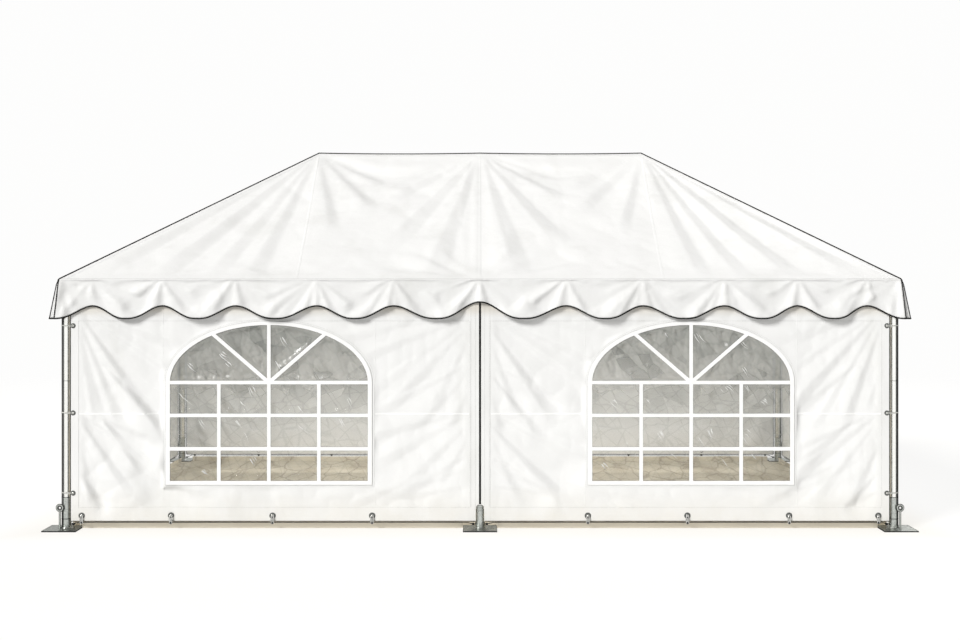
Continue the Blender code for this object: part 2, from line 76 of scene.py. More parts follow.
# Valance
CREST_Z = 2.155
MIDDLE_CREST_Z = 2.193
LONG_CRESTS = (0.0, 0.835, 1.575, 2.36, 3.065, 3.74)
END_CREST_COUNT = 3
CREST_SHARPNESS = 1.3
VALANCE_CORNER = 4.094
LONG_FLARE = 0.030
END_FLARE = 0.088
VALANCE_LIMIT = 0.03
VALANCE_STEP = 0.0195
VALANCE_CRUMPLE = 0.008
VALANCE_CRUMPLE_SIZE = 0.12
LOBE_CORD = 0.0074
PLEAT_CORD = 0.0052
PLEAT_TUCK = 0.030

# How far inside the eave line the valance may reach and still clear the walls, and how much
# less that is at its thick bound edge
WALL_GAP = 0.0095
BOUND_EDGE = 0.0085

# Windows
WINDOW_X = 2.035
GLASS_HALF = 0.953
GLASS_BOTTOM = 0.469
SPRING_Z = 1.417
GLASS_RISE = 0.554
FRAME_WIDTH = 0.042
FRAME_FOOT = 0.039
FRAME_RISE = 0.035
BAR_HALF = 0.018
SIDE_BAR_X = 0.482
ROW_BARS_Z = (0.778, 1.100, SPRING_Z)
FAN_ANGLE = math.radians(40.8)

# Walls
HEM_TOP = 0.218
HEAD_Z = 2.010
SEAM_Z = 1.115
OUTER_BAND = 0.085
JOINT_BAND = 0.100
LACED_EDGE_TOP = 2.115
EYELET_INSET = 0.028
EYELETS_Z = (1.964, 1.123, 0.350)
FOOT_EYELET_Z = 0.132
LONG_HOOKS = (1.04, 2.00, 2.98, 3.84)
END_HOOKS = (-2.28, -1.14, 0.0, 1.14, 2.28)
FOOT_CORD = 0.0042
LACED_CORD = 0.0046
WALL_CRUMPLE = 0.010
WALL_CRUMPLE_SIZE = 0.27
FRONT_STEP = 0.0165
BACK_STEP = 0.026
FOLD_INWARD = 0.060
FOLD_OUTWARD = 0.020

# Bands and seams welded on the walls
TRIM_LIFT = 0.0009
TRIM_SINK = -0.0002
TRIM_RIM = 0.0015
TRIM_GAP = 0.001
HEM_STEP = 0.04
SEAM_STEP = 0.03
SEAM_HALF = 0.008
BAND_TOP = 2.30
SEAM_TOP = 2.29
FRAME_BAND = (0.0015, 0.024)

# Ties of the walls' eyelets to the posts
POST_GAP = 0.049
TIE_RADIUS = 0.0026
TIE_RISE = 0.006

# Notch round the middle sleeve
NOTCH_HALF = 0.0405
NOTCH_SPRING = 0.200
NOTCH_RISE = 0.043

# Sleeves of the base plates
SLEEVE_RADIUS = 0.046
SLEEVE_GROOVE_Z = 0.098
PLATE_TOP = 0.010

# Pegs of the corner plates, from their posts
PEG_X = 0.047
PEG_Y = 0.058
PEG_EYE_Z = 0.210

# Foot cables
CABLE_RADIUS = 0.005
CABLE_Z = 0.067
CABLE_FOOT_Z = 0.045
CABLE_RUN_IN = 0.075

# Cloth
UPSTAND = 0.060
FABRIC = 0.0012
SHEET_Z = 0.0022
BASE_GAP = 0.0045

# Distances that count as touching
NEAR = 1e-5
TINY = 1e-6

# Light from the upper left in front, which says which way a crease shades
LIGHT = Vector((-0.61, -0.59, 0.53)).normalized()


class Side:
    """One side of the tent, with its directions, its roof slope and its valance.

    reach and eave are how far the post line and the eave lie from the middle, half and top are
    half the lengths of the eave and of the slope's upper edge, and length runs up the slope.
    """

    def __init__(self, name, along, roof_seed):
        self.name = name
        self.along = Vector(along)
        self.out = self.along.cross(UP)
        self.roof_seed = roof_seed
        self.ends = name in ("left", "right")
        if self.ends:
            self.reach, self.eave, self.half, self.top = HALF_LENGTH, EAVE_X, EAVE_Y, 0.0
            self.slope, self.corner, self.flare = END_SLOPE, EAVE_Y, END_FLARE
        else:
            self.reach, self.eave, self.half, self.top = HALF_DEPTH, EAVE_Y, EAVE_X, HALF_RIDGE
            self.slope, self.corner, self.flare = LONG_SLOPE, VALANCE_CORNER, LONG_FLARE
        self.length = RISE / math.sin(self.slope)

    def points(self, run, offset, height):
        """World points from runs along the side, offsets from the post line, and heights."""
        run, offset, height = np.broadcast_arrays(run, offset, height)
        flat = run[..., None] * np.array(self.along)
        flat = flat + (self.reach + offset)[..., None] * np.array(self.out)
        return flat + height[..., None] * np.array(UP)

    def light(self, elsewhere):
        """The way the light comes from, along the side and up it, or elsewhere off the front."""
        return (LIGHT.dot(self.along) if self.name == "front" else elsewhere, LIGHT.z)


FRONT = Side("front", (1, 0, 0), 1)
RIGHT = Side("right", (0, 1, 0), 2)
BACK = Side("back", (-1, 0, 0), 5)
LEFT = Side("left", (0, -1, 0), 8)
SIDES = (FRONT, RIGHT, BACK, LEFT)


def smooth(value):
    value = np.clip(value, 0.0, 1.0)
    return value * value * (3 - 2 * value)


def lines(breaks, step):
    """Places through every break and about step apart between them."""
    places = [breaks[0]]
    for start, end in zip(breaks, breaks[1:]):
        count = max(1, round((end - start) / step))
        places.extend(start + (end - start) * (i + 1) / count for i in range(count))
    return np.array(places)


def value_noise(u, v, seed):
    """Smooth random values from 0 to 1 on a unit lattice."""
    cell_u, cell_v = np.floor(u), np.floor(v)
    part_u, part_v = smooth(u - cell_u), smooth(v - cell_v)

    def corner(step_u, step_v):
        mixed = (cell_u + step_u) * 127.1 + (cell_v + step_v) * 311.7 + seed * 74.7
        wave = np.sin(mixed) * 43758.5453
        return wave - np.floor(wave)

    low = corner(0, 0) * (1 - part_u) + corner(1, 0) * part_u
    high = corner(0, 1) * (1 - part_u) + corner(1, 1) * part_u
    return low * (1 - part_v) + high * part_v


def crumple(u, v, size, seed):
    """Ridges of creased cloth, from 0 in the flats to 1 on the ridges."""
    turn_u = u * 0.83 + v * 0.56
    turn_v = v * 0.83 - u * 0.56
    first = 1 - np.abs(2 * value_noise(turn_u / size, turn_v / size, seed) - 1)
    fine = 2.3 / size
    second = 1 - np.abs(2 * value_noise(u * fine, v * fine, seed + 3) - 1)
    return 0.7 * first ** 2 + 0.3 * second ** 2


# Sections across a crease: its places in band widths, and its heights there
FOLD = ((-2.4, 0.0, 1.0, 3.0), (0.0, -0.62, 0.38, 0.0))
DIP = ((-1.8, 0.0, 1.0), (0.0, -1.0, 0.0))


def crease(u, v, start, heading, reach, spread, slope, light, shift=0.0, section=FOLD):
    """A band that fans out from start, with one side turned from the light.

    The turned side lies next to the ray, towards the light, or away from it with a shift of 1.
    """
    run_u, run_v = u - start[0], v - start[1]
    cos, sin = math.cos(heading), math.sin(heading)
    across_u, across_v = -sin, cos
    if across_u * light[0] + across_v * light[1] < 0:
        across_u, across_v = sin, -cos
    share = (run_u * cos + run_v * sin) / reach
    width = spread * np.maximum(0.12 + share, 0.05)
    place = (run_u * across_u + run_v * across_v) / width + shift
    life = smooth(share / 0.12) * smooth((1.12 - share) / 0.34)
    return slope * width * np.interp(place, *section) * life


def turns(count):
    """Angles of one full turn in equal steps."""
    return np.linspace(0, math.tau, count + 1)[:-1]


def whole_cells(mask):
    """Cells of a grid with all four corners in the mask."""
    return mask[:-1, :-1] & mask[:-1, 1:] & mask[1:, 1:] & mask[1:, :-1]


def placed(name, data):
    """A new object in the scene."""
    made = bpy.data.objects.new(name, data)
    bpy.context.scene.collection.objects.link(made)
    return made


class Bundle:
    """Points and faces gathered from many small shapes into one mesh."""

    def __init__(self):
        self.points, self.faces, self.marks = [], [], []
        self.count = 0

    def add(self, points, faces, mark=0):
        """Add one shape, whose faces take the material numbered mark."""
        points = np.asarray(points, float).reshape(-1, 3)
        self.points.append(points)
        self.faces.extend([[int(i) + self.count for i in face] for face in faces])
        self.marks.extend([mark] * len(faces))
        self.count += len(points)

    def add_grid(self, points, mark=0):
        """Add rows of points as one open surface."""
        self.add(points, grid_faces(*points.shape[:2]), mark)

    def build(self, name, materials, slot, thickness=0.0, angle=None, merge=0.0):
        """Make the piece and let it ride on the tent; slot is not used."""
        mesh = bpy.data.meshes.new(name)
        mesh.from_pydata(np.concatenate(self.points).tolist(), [], self.faces)
        for material in materials:
            mesh.materials.append(material)
        mesh.polygons.foreach_set("material_index", self.marks)
        mesh.shade_smooth()
        if angle is not None:
            mesh.set_sharp_from_angle(angle=math.radians(angle))
        piece = placed(name, mesh)
        if merge:
            piece.modifiers.new("weld", 'WELD').merge_threshold = merge
        if thickness:
            solid = piece.modifiers.new("cloth", 'SOLIDIFY')
            solid.thickness = thickness
            solid.offset = -1.0
        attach(piece, "root")
        return piece


def grid_faces(rows, columns, keep=None, closed=False):
    """Faces of a grid of points whose columns run along it and whose rows go up it."""
    index = np.arange(rows * columns).reshape(rows, columns)
    if closed:
        index = np.hstack((index, index[:, :1]))
    faces = np.stack((index[:-1, :-1], index[:-1, 1:], index[1:, 1:], index[1:, :-1]), -1)
    return faces[keep] if keep is not None else faces.reshape(-1, 4)


def used_only(points, faces):
    """Leave out the points that no face uses."""
    used, faces = np.unique(faces, return_inverse=True)
    return points.reshape(-1, 3)[used], faces.reshape(-1, 4)


def tube(path, radius, sides=8, closed=False, lobes=0.0, pitch=0.0):
    """A round bar along a path, or with lobes a twisted rope."""
    path = np.asarray(path, float)
    ahead = np.roll(path, -1, 0) - path if closed else np.gradient(path, axis=0)
    if closed:
        ahead = ahead + path - np.roll(path, 1, 0)
    ahead /= np.linalg.norm(ahead, axis=1)[:, None]
    beside = np.cross(ahead[0], (0.31, 0.17, 0.93))
    rings = []
    travelled = 0.0
    for index, (place, way) in enumerate(zip(path, ahead)):
        beside = beside - way * np.dot(beside, way)
        beside /= np.linalg.norm(beside)
        above = np.cross(way, beside)
        if index:
            travelled += np.linalg.norm(place - path[index - 1])
        angles = np.arange(sides) * math.tau / sides
        size = np.full(sides, radius)
        if lobes:
            size = radius * (1 - lobes + lobes * np.cos(3 * angles))
            angles = angles + travelled / pitch * math.tau
        ring = np.cos(angles)[:, None] * beside + np.sin(angles)[:, None] * above
        rings.append(place + ring * size[:, None])
    points = np.array(rings)
    if closed:
        points = np.concatenate((points, points[:1]))
    count = len(points)
    faces = grid_faces(count, sides, closed=True)
    faces = [list(face) for face in faces]
    points = points.reshape(-1, 3)
    if closed:
        last = (count - 1) * sides
        faces = [[i - last if i >= last else i for i in face] for face in faces]
        points = points[:last]
    else:
        faces.append(list(range(sides))[::-1])
        faces.append(list(range((count - 1) * sides, count * sides)))
    return points, faces


def lathe(profile, centre, axis, segments=20):
    """A profile of (radius, height) pairs turned about axis through centre."""
    axis = Vector(axis).normalized()
    beside = axis.orthogonal().normalized()
    above = axis.cross(beside)
    angles = np.arange(segments) * math.tau / segments
    ring = np.cos(angles)[:, None] * np.array(beside) + np.sin(angles)[:, None] * np.array(above)
    rows = [np.array(centre) + ring * radius + np.array(axis) * height
            for radius, height in profile]
    faces = [list(face) for face in grid_faces(len(profile), segments, closed=True)]
    first = list(range(segments))[::-1]
    last = list(range((len(profile) - 1) * segments, len(profile) * segments))
    return np.array(rows), faces + [first, last]


def block(centre, axes, sizes, taper=1.0):
    """A small box along three axes, narrower at its top by taper."""
    corners = []
    for high in (0, 1):
        shrink = taper if high else 1.0
        for across, along in ((-1, -1), (1, -1), (1, 1), (-1, 1)):
            offset = np.array(axes[0]) * across * sizes[0] / 2 * shrink
            offset = offset + np.array(axes[1]) * along * sizes[1] / 2 * shrink
            corners.append(np.array(centre) + offset + np.array(axes[2]) * sizes[2] * high)
    faces = [(3, 2, 1, 0), (4, 5, 6, 7), (0, 1, 5, 4), (1, 2, 6, 5), (2, 3, 7, 6), (3, 0, 4, 7)]
    return corners, faces


class Paint:
    """A procedural material, with its texture places in the tent's own frame."""

    def __init__(self, name, **sockets):
        self.material = bpy.data.materials.new(name)
        self.material.use_nodes = True
        self.nodes = self.material.node_tree.nodes
        self.links = self.material.node_tree.links
        self.shader = self.nodes["Principled BSDF"]
        self.set(**sockets)
        self.place = self.nodes.new("ShaderNodeTexCoord").outputs["Object"]
        self.normal = None

    def feed(self, socket, value):
        """Link a socket to its source, or give it a plain value."""
        if isinstance(value, bpy.types.NodeSocket):
            self.links.new(value, socket)
        else:
            socket.default_value = value

    def set(self, **sockets):
        """Feed sockets of the shader."""
        for name, value in sockets.items():
            self.feed(self.shader.inputs[name.replace("_", " ")], value)

    def node(self, kind, inputs=(), **values):
        """A new node, with its properties and what feeds its inputs."""
        made = self.nodes.new("ShaderNode" + kind)
        for key, value in values.items():
            if hasattr(made, key):
                setattr(made, key, value)
            else:
                made.inputs[key.replace("_", " ")].default_value = value
        for socket, value in inputs:
            self.feed(made.inputs[socket], value)
        return made

    def stretched(self, scale):
        """Places drawn out or squeezed along the axes."""
        return self.node("Mapping", [("Vector", self.place), ("Scale", scale)]).outputs["Vector"]

    def bent(self, place, scale, detail, amount):
        """Places swayed by a soft noise."""
        warp = self.node("TexNoise", [("Vector", place)], Scale=scale, Detail=detail)
        sway = self.node("VectorMath", [(0, warp.outputs["Color"])], operation='SCALE',
                         Scale=amount)
        moved = self.node("VectorMath", [(0, place), (1, sway.outputs[0])], operation='ADD')
        return moved.outputs[0]

    def axis(self, letter, source=None):
        """One coordinate of a place, or one channel of a colour."""
        return self.node("SeparateXYZ", [("Vector", source or self.place)]).outputs[letter]

    def noise(self, scale, detail=3.0, place=None, roughness=0.55):
        made = self.node("TexNoise", [("Vector", place or self.place)], Scale=scale,
                         Detail=detail, Roughness=roughness)
        return made.outputs["Fac"]

    def cells(self, place, scale):
        """A random colour for every cell."""
        return self.node("TexVoronoi", [("Vector", place)], Scale=scale).outputs["Color"]

    def edges(self, place, scale):
        """How far places lie from the edge of their cell."""
        made = self.node("TexVoronoi", [("Vector", place)], Scale=scale,
                         feature='DISTANCE_TO_EDGE')
        return made.outputs["Distance"]

    def wave(self, period, direction):
        """Bands of one period in metres."""
        made = self.node("TexWave", [("Vector", self.place)], bands_direction=direction,
                         Scale=math.tau / (20 * period), Distortion=0.4)
        return made.outputs["Fac"]

    def ramp(self, source, stops):
        made = self.node("ValToRGB", [("Fac", source)])
        band = made.color_ramp
        while len(band.elements) < len(stops):
            band.elements.new(0.5)
        for element, (position, colour) in zip(band.elements, stops):
            element.position = position
            element.color = (*colour, 1.0)
        return made.outputs["Color"]

    def mapped(self, source, low, high, to_low=0.0, to_high=1.0, kind='LINEAR'):
        """A value carried from one range to another, and held at its ends."""
        made = self.node("MapRange", [("Value", source)], interpolation_type=kind,
                         From_Min=low, From_Max=high, To_Min=to_low, To_Max=to_high)
        return made.outputs["Result"]

    def mixed(self, factor, first, second):
        """Two colours mixed."""
        return self.node("Mix", [("Factor", factor), (6, first), (7, second)],
                         data_type='RGBA').outputs[2]

    def combine(self, operation, first, second=0.0):
        """Two values put together."""
        return self.node("Math", [(0, first), (1, second)], operation=operation).outputs[0]

    def rough(self, source, low, high):
        self.set(Roughness=self.mapped(source, 0.0, 1.0, low, high))

    def bump(self, height, distance, strength=1.0):
        made = self.node("Bump", [("Height", height)], Distance=distance, Strength=strength)
        if self.normal:
            self.links.new(self.normal, made.inputs["Normal"])
        self.normal = made.outputs["Normal"]
        self.set(Normal=self.normal)


# Pale and shaded tones of the coated cloths
FABRICS = {
    "canopy": ((0.875, 0.875, 0.868), (0.82, 0.82, 0.808)),
    "walling": ((0.75, 0.75, 0.742), (0.69, 0.69, 0.676)),
    "valance_cloth": ((0.728, 0.728, 0.721), (0.665, 0.665, 0.653)),
    # The weld cloth is paler than the walling as a painted highlight along the level seams.
    "weld": ((0.86, 0.86, 0.85), (0.82, 0.82, 0.81)),
}
WEAVE_PERIOD = 0.0030
FOOT_TONE = (0.66, 0.63, 0.56, 1.0)
# Beige of the painted shade on the walls just under the valance
VALANCE_SHADE_TINT = (0.60, 0.565, 0.50, 1.0)


def paint_fabric(name, pale, shade):
    """Coated white cloth: a fine weave, soft crinkles, faint streaks and a darker, warmer foot.

    The walls also get a painted beige shade just under the valance, standing in for its shadow.
    """
    paint = Paint(name, Specular_IOR_Level=0.35, Sheen_Weight=0.08, Sheen_Roughness=0.5)
    streaks = paint.noise(1.0, 4.0, paint.stretched((2.2, 2.2, 0.8)))
    cloth = paint.ramp(streaks, ((0.30, shade), (0.46, pale)))
    height = paint.axis("Z")
    # Below 0.42 m the cloth turns darker and warmer, in noisy patches.
    foot = paint.mapped(height, 0.06, 0.42, 0.9, 0.0)
    tint = paint.mixed(paint.combine('MULTIPLY', foot, paint.noise(5.0, 5.0)), cloth, FOOT_TONE)
    # Painted shade: the walls turn beige just below the valance, for the shadow it casts.
    if name == "walling":
        shaded = paint.mapped(height, 2.03, 2.14, 0.0, 0.85, 'SMOOTHSTEP')
        tint = paint.mixed(shaded, tint, VALANCE_SHADE_TINT)
    paint.set(Base_Color=tint)
    paint.rough(paint.noise(9.0), 0.46, 0.60)
    paint.bump(paint.noise(4.5, 5.0, roughness=0.5), 0.022, 0.30)
    for direction in "XZ":
        paint.bump(paint.wave(WEAVE_PERIOD, direction), 0.0003, 0.25)
    return paint.material


def paint_aluminium():
    """Drawn aluminium, with fine lines along the tubes and a few dull patches."""
    paint = Paint("aluminium", Metallic=0.92, Specular_Tint=(0.62, 0.62, 0.61, 1.0))
    grain = paint.noise(60.0, 3.0, paint.stretched((12.0, 12.0, 0.25)))
    tone = paint.ramp(grain, ((0.25, (0.74, 0.74, 0.71)), (0.75, (0.90, 0.90, 0.87))))
    paint.set(Base_Color=tone)
    paint.rough(paint.noise(7.0, 4.0), 0.16, 0.28)
    paint.bump(grain, 0.0004, 0.3)
    return paint.material


def paint_steel():
    """Hot-dip galvanised steel: spangles, duller patches and a dark line along its foot, painted
    shade for the plates' edges.
    """
    paint = Paint("steel", Metallic=0.90, Specular_Tint=(0.50, 0.50, 0.49, 1.0))
    tone = paint.ramp(paint.cells(paint.place, 95.0),
                      ((0.1, (0.38, 0.40, 0.38)), (0.9, (0.54, 0.56, 0.53))))
    # Painted shade: the lowest few millimetres turn near black, for the shaded edges of the plates.
    foot = paint.mapped(paint.axis("Z"), 0.0060, 0.0090, 0.85, 0.0)
    paint.set(Base_Color=paint.mixed(foot, tone, (0.035, 0.033, 0.028, 1.0)))
    paint.rough(paint.noise(26.0, 5.0), 0.20, 0.38)
    paint.bump(paint.noise(240.0, 2.0), 0.0004, 0.4)
    return paint.material


def paint_film():
    """Clear soft film, a little grey, with wrinkles that catch the light, painted light and shade
    on its facets, painted shade along its creases and towards its top.
    """
    paint = Paint("clear_film", Specular_IOR_Level=0.45, Coat_Weight=0.25, Coat_Roughness=0.06)
    place = paint.bent(paint.place, 3.5, 2.0, 0.10)
    tones, gaps = [], []
    for turn, length, width in ((52, 0.42, 0.13), (-27, 0.34, 0.12)):
        turned = paint.node("Mapping", [("Vector", place), ("Scale", (length, length, width)),
                                        ("Rotation", (0.0, math.radians(turn), 0.0))],
                            vector_type='TEXTURE').outputs["Vector"]
        tones.append(paint.axis("X", paint.cells(turned, 1.0)))
        gaps.append(paint.edges(turned, 1.0))
    # Painted light and shade: cell tones for the lit and shaded facets of the crumpled film.
    shaded_facets = paint.ramp(paint.mapped(paint.combine('ADD', *tones), 0.0, 1.0, 0.0, 0.5),
                        ((0.1, (0.125, 0.135, 0.125)), (0.5, (0.27, 0.275, 0.255)),
                         (0.9, (0.53, 0.51, 0.455))))
    # Painted shade: darker, less clear lines along the cells' edges, for the creases.
    line = paint.mapped(paint.combine('MINIMUM', *gaps), 0.0, 0.050, 0.40, 0.0)
    # Painted shade: the film grows less clear towards the top, for the dim inside under the roof.
    top_shade = paint.mapped(paint.axis("Z"), 0.75, 1.95, 0.27, 0.88)
    cover = paint.combine('ADD', paint.combine('MULTIPLY', line, 0.24), top_shade)
    paint.set(Base_Color=paint.mixed(line, shaded_facets, (0.15, 0.16, 0.14, 1.0)), Alpha=cover)
    paint.rough(paint.noise(14.0), 0.08, 0.22)
    paint.bump(paint.noise(11.0, 5.0, paint.stretched((1.0, 1.0, 0.6))), 0.045, 0.5)
    return paint.material


def paint_sheeting():
    """Beige ground sheet, scuffed and crinkled, with painted shade along its creases and painted
    light along the front, where it shows under the front wall.
    """
    paint = Paint("sheeting", Specular_IOR_Level=0.3)
    drawn_out = paint.stretched((1.0, 0.30, 1.0))
    sheet = paint.ramp(paint.noise(2.6, 6.0, drawn_out),
                       ((0.28, (0.44, 0.38, 0.28)), (0.50, (0.60, 0.54, 0.42)),
                        (0.78, (0.72, 0.66, 0.53))))
    # Painted shade: dark lines along the creases.
    gap = paint.edges(paint.bent(drawn_out, 2.5, 4.0, 0.22), 3.4)
    crease_shade = paint.mixed(paint.mapped(gap, 0.0, 0.05, 0.55, 0.0), sheet, (0.24, 0.20, 0.14, 1.0))
    # Painted light: paler towards the front edge, on the strip seen under the front wall.
    rim = paint.mapped(paint.axis("Y"), -1.95, -2.44)
    paint.set(Base_Color=paint.mixed(rim, crease_shade, (0.84, 0.78, 0.66, 1.0)))
    paint.rough(paint.noise(11.0, 4.0), 0.60, 0.82)
    paint.bump(paint.noise(14.0, 5.0), 0.010, 0.4)
    paint.bump(paint.wave(0.004, 'X'), 0.0004, 0.3)
    return paint.material


# Finishes of the small parts: woven tape, tarred cable, braided ties, rubber patches, plated
# rings, thread, film creases painted white as glints, welded window bars, and weld lines painted
# dark as shade
SMALL_PARTS = {
    "binding": dict(mottle=(40.0,), dark=(0.006, 0.006, 0.006), light=(0.026, 0.026, 0.024),
                    weave=(0.0022, 0.0004, 0.6), Roughness=0.85, Specular_IOR_Level=0.2),
    "cord": dict(mottle=(120.0,), dark=(0.008, 0.008, 0.007), light=(0.034, 0.033, 0.029),
                 grain=(500.0, 0.0005, 0.5), Roughness=0.6),
    "lace": dict(mottle=(60.0,), dark=(0.42, 0.42, 0.39), light=(0.70, 0.70, 0.67), top=0.7,
                 weave=(0.0030, 0.0005, 0.6), Roughness=0.65),
    "eyelet_patch": dict(mottle=(70.0,), dark=(0.050, 0.054, 0.050), light=(0.115, 0.12, 0.112),
                         grain=(400.0, 0.0004, 0.4), Roughness=0.62),
    "plated": dict(mottle=(80.0,), dark=(0.58, 0.58, 0.56), light=(0.80, 0.80, 0.77),
                   gloss=(60.0, 0.16, 0.34), Metallic=0.9),
    "thread": dict(mottle=(300.0,), dark=(0.42, 0.42, 0.40), light=(0.58, 0.58, 0.56),
                   weave=(0.0012, 0.0003, 0.5), Roughness=0.7),
    # Painted glints: white, half-clear creases for the highlights on the film.
    "film_glint_creases": dict(mottle=(90.0,), dark=(0.86, 0.87, 0.86), light=(0.97, 0.97, 0.96),
                         top=0.7, Roughness=0.15, Alpha=0.66),
    "glazing_bars": dict(mottle=(12.0, 4.0), dark=(0.80, 0.80, 0.79), light=(0.86, 0.86, 0.85),
                         top=0.7, gloss=(30.0, 0.34, 0.50), grain=(160.0, 0.0005, 0.3),
                         Specular_IOR_Level=0.4),
    # Painted shade: dark weld lines round the panes, for the shade where film meets bars.
    "pane_shade_line": dict(mottle=(90.0,), dark=(0.060, 0.064, 0.060), light=(0.12, 0.125, 0.118),
                      Roughness=0.5),
}


def paint_small(name, mottle, dark, light, top=0.8, gloss=None, weave=None, grain=None,
                **sockets):
    """A small part's finish, mottled from dark to light and bumped by a weave or a grain.

    mottle is the noise's scale and detail, top where the light tone starts, gloss the scale and
    range of the roughness, and weave and grain the size, depth and strength of the bumps.
    """
    paint = Paint(name, **sockets)
    paint.set(Base_Color=paint.ramp(paint.noise(*mottle), ((0.3, dark), (top, light))))
    if gloss:
        paint.rough(paint.noise(gloss[0]), *gloss[1:])
    if weave:
        paint.bump(paint.wave(weave[0], 'DIAGONAL'), *weave[1:])
    if grain:
        paint.bump(paint.noise(grain[0], 2.0), *grain[1:])
    return paint.material


# Roof rays on the left half of a long side: start, heading in degrees, reach, spread and slope
PEAK = (-HALF_RIDGE, FRONT.length)
RIDGE_MIDDLE = (0.0, FRONT.length)
ROOF_RAYS = (
    (PEAK, -130.0, 3.20, 0.130, 0.24),
    (PEAK, -121.5, 3.15, 0.150, 0.27),
    (PEAK, -111.5, 3.05, 0.180, 0.29),
    (PEAK, -102.5, 2.95, 0.150, 0.29),
    (PEAK, -95.0, 2.90, 0.150, 0.31),
    (PEAK, -77.0, 1.80, 0.110, 0.30),
    (PEAK, -58.0, 1.50, 0.130, 0.34),
    (PEAK, -38.0, 1.10, 0.140, 0.30),
    (RIDGE_MIDDLE, -96.5, 2.90, 0.200, 0.22),
    (RIDGE_MIDDLE, -109.0, 2.20, 0.190, 0.24),
    (RIDGE_MIDDLE, -127.0, 1.40, 0.140, 0.27),
    (RIDGE_MIDDLE, -142.0, 1.10, 0.110, 0.24),
    ((0.0, 0.0), 163.0, 1.05, 0.110, 0.20),
    ((0.0, 0.0), 138.0, 0.95, 0.090, 0.18),
    ((0.0, 0.0), 116.0, 0.70, 0.080, 0.14),
    ((-SEAM_FOOT_X, 0.0), 150.0, 0.75, 0.070, 0.14),
    ((-SEAM_FOOT_X, 0.0), 40.0, 0.65, 0.080, 0.14),
)
END_RAYS = (-138.0, -126.0, -115.0, -104.0, -95.0, -84.0, -73.0, -62.0, -52.0, -41.0)


def end_dip(side, u, v, light):
    """Folds of an end slope that fan out from its peak, and how far places lie from its hips."""
    dip = np.zeros_like(u)
    for index, heading in enumerate(END_RAYS):
        spread = 0.12 + 0.03 * (index % 3)
        slope = 0.24 + 0.05 * (index % 2)
        dip += crease(u, v, (0.0, side.length), math.radians(heading), 2.4, spread, slope, light)
    beside = side.half * (1 - v / side.length) - np.abs(u)
    belly = np.sin(math.pi * np.clip(v / side.length, 0, 1))
    return dip - 0.022 * smooth(beside / 0.9) * belly, beside


def long_dip(side, u, v, light):
    """Folds and swags of a long slope, and how far places lie from its hips and its middle."""
    dip = np.zeros_like(u)
    for sign in (-1, 1):
        for start, heading, reach, spread, slope in ROOF_RAYS:
            turn = heading if sign < 0 else 180.0 - heading
            dip += crease(u, v, (-sign * start[0], start[1]), math.radians(turn), reach,
                          spread, slope, light, (1 + sign) / 2)
    reach = side.half + (HALF_RIDGE - side.half) * v / side.length
    beside = np.minimum(reach - np.abs(u), np.abs(u) * 1.4)
    bay = np.clip(np.abs(u) / HALF_RIDGE, 0, 1)
    swag = side.length - 0.10 - 0.42 * np.sin(math.pi * bay)
    fold = np.interp((v - swag) / 0.20, (-2.0, 0.0, 1.0), (0.0, -1.0, 0.0))
    dip += 0.040 * fold * np.sin(math.pi * bay) * (np.abs(u) < HALF_RIDGE)
    belly = np.sin(math.pi * np.clip(v / side.length, 0, 1))
    return dip - 0.024 * smooth(beside / 1.1) * belly, beside


def roof_dip(side, u, v):
    """How far the cover lies outside its plane, from runs and distances up the slope."""
    up = UP * math.sin(side.slope) - side.out * math.cos(side.slope)
    light = (LIGHT.dot(side.along), LIGHT.dot(up))
    if side is not FRONT:
        light = (abs(light[0]) + 0.2, 0.3)
    dip, beside = (end_dip if side.ends else long_dip)(side, u, v, light)
    dip -= ROOF_CRUMPLE * crumple(u, v, ROOF_CRUMPLE_SIZE, side.roof_seed) * smooth(beside / 0.4)
    dip *= smooth(beside / 0.16) * smooth((v - 0.02) / 0.14)
    dip *= smooth((side.length - v - 0.035) / 0.12)
    dip = ROOF_LIMIT * np.tanh(dip / ROOF_LIMIT)
    if side.ends:
        return dip
    wide = 0.10 + 0.10 * np.sin(math.pi * np.clip(v / side.length, 0, 1))
    valley = np.interp(u / wide, (-1.0, 0.0, 1.6), (0.0, -1.0, 0.0))
    ends_fade = smooth((v - 0.05) / 0.25) * smooth((side.length - v - 0.05) / 0.35)
    return dip + SEAM_DIP * valley * ends_fade


def ridge_sag(run):
    """How far the cloth hangs between the rafters' tops on the ridge."""
    bay = np.clip(np.abs(run) / HALF_RIDGE, 0, 1)
    return RIDGE_SAG * 4 * bay * (1 - bay)


def on_roof(side, u, v, lift=0.0):
    """Places on one face's cloth, raised by lift."""
    dip = roof_dip(side, u, v) + lift
    sin, cos = math.sin(side.slope), math.cos(side.slope)
    offset = side.eave - side.reach - v * cos + dip * sin
    height = EAVE_Z + v * sin + dip * cos
    if not side.ends:
        height = height - ridge_sag(u) * smooth(1 - (side.length - v) / 0.05)
    return side.points(u, offset, height)


def make_roof(material):
    """One continuous cover over all four slopes."""
    cover = Bundle()
    for side, columns, rows in ((FRONT, 264, 84), (RIGHT, 132, 66), (BACK, 216, 66),
                                (LEFT, 132, 66)):
        rise = np.linspace(0, 1, rows + 1)[:, None]
        across = np.linspace(-1, 1, columns + 1)[None, :]
        u = (side.half + (side.top - side.half) * rise) * across
        cover.add_grid(on_roof(side, u, rise * side.length + 0 * across))
    piece = cover.build("roof_cover", [material], "canopy", merge=0.0004)
    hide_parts("front_roof", "back_roof", "left_roof", "right_roof")


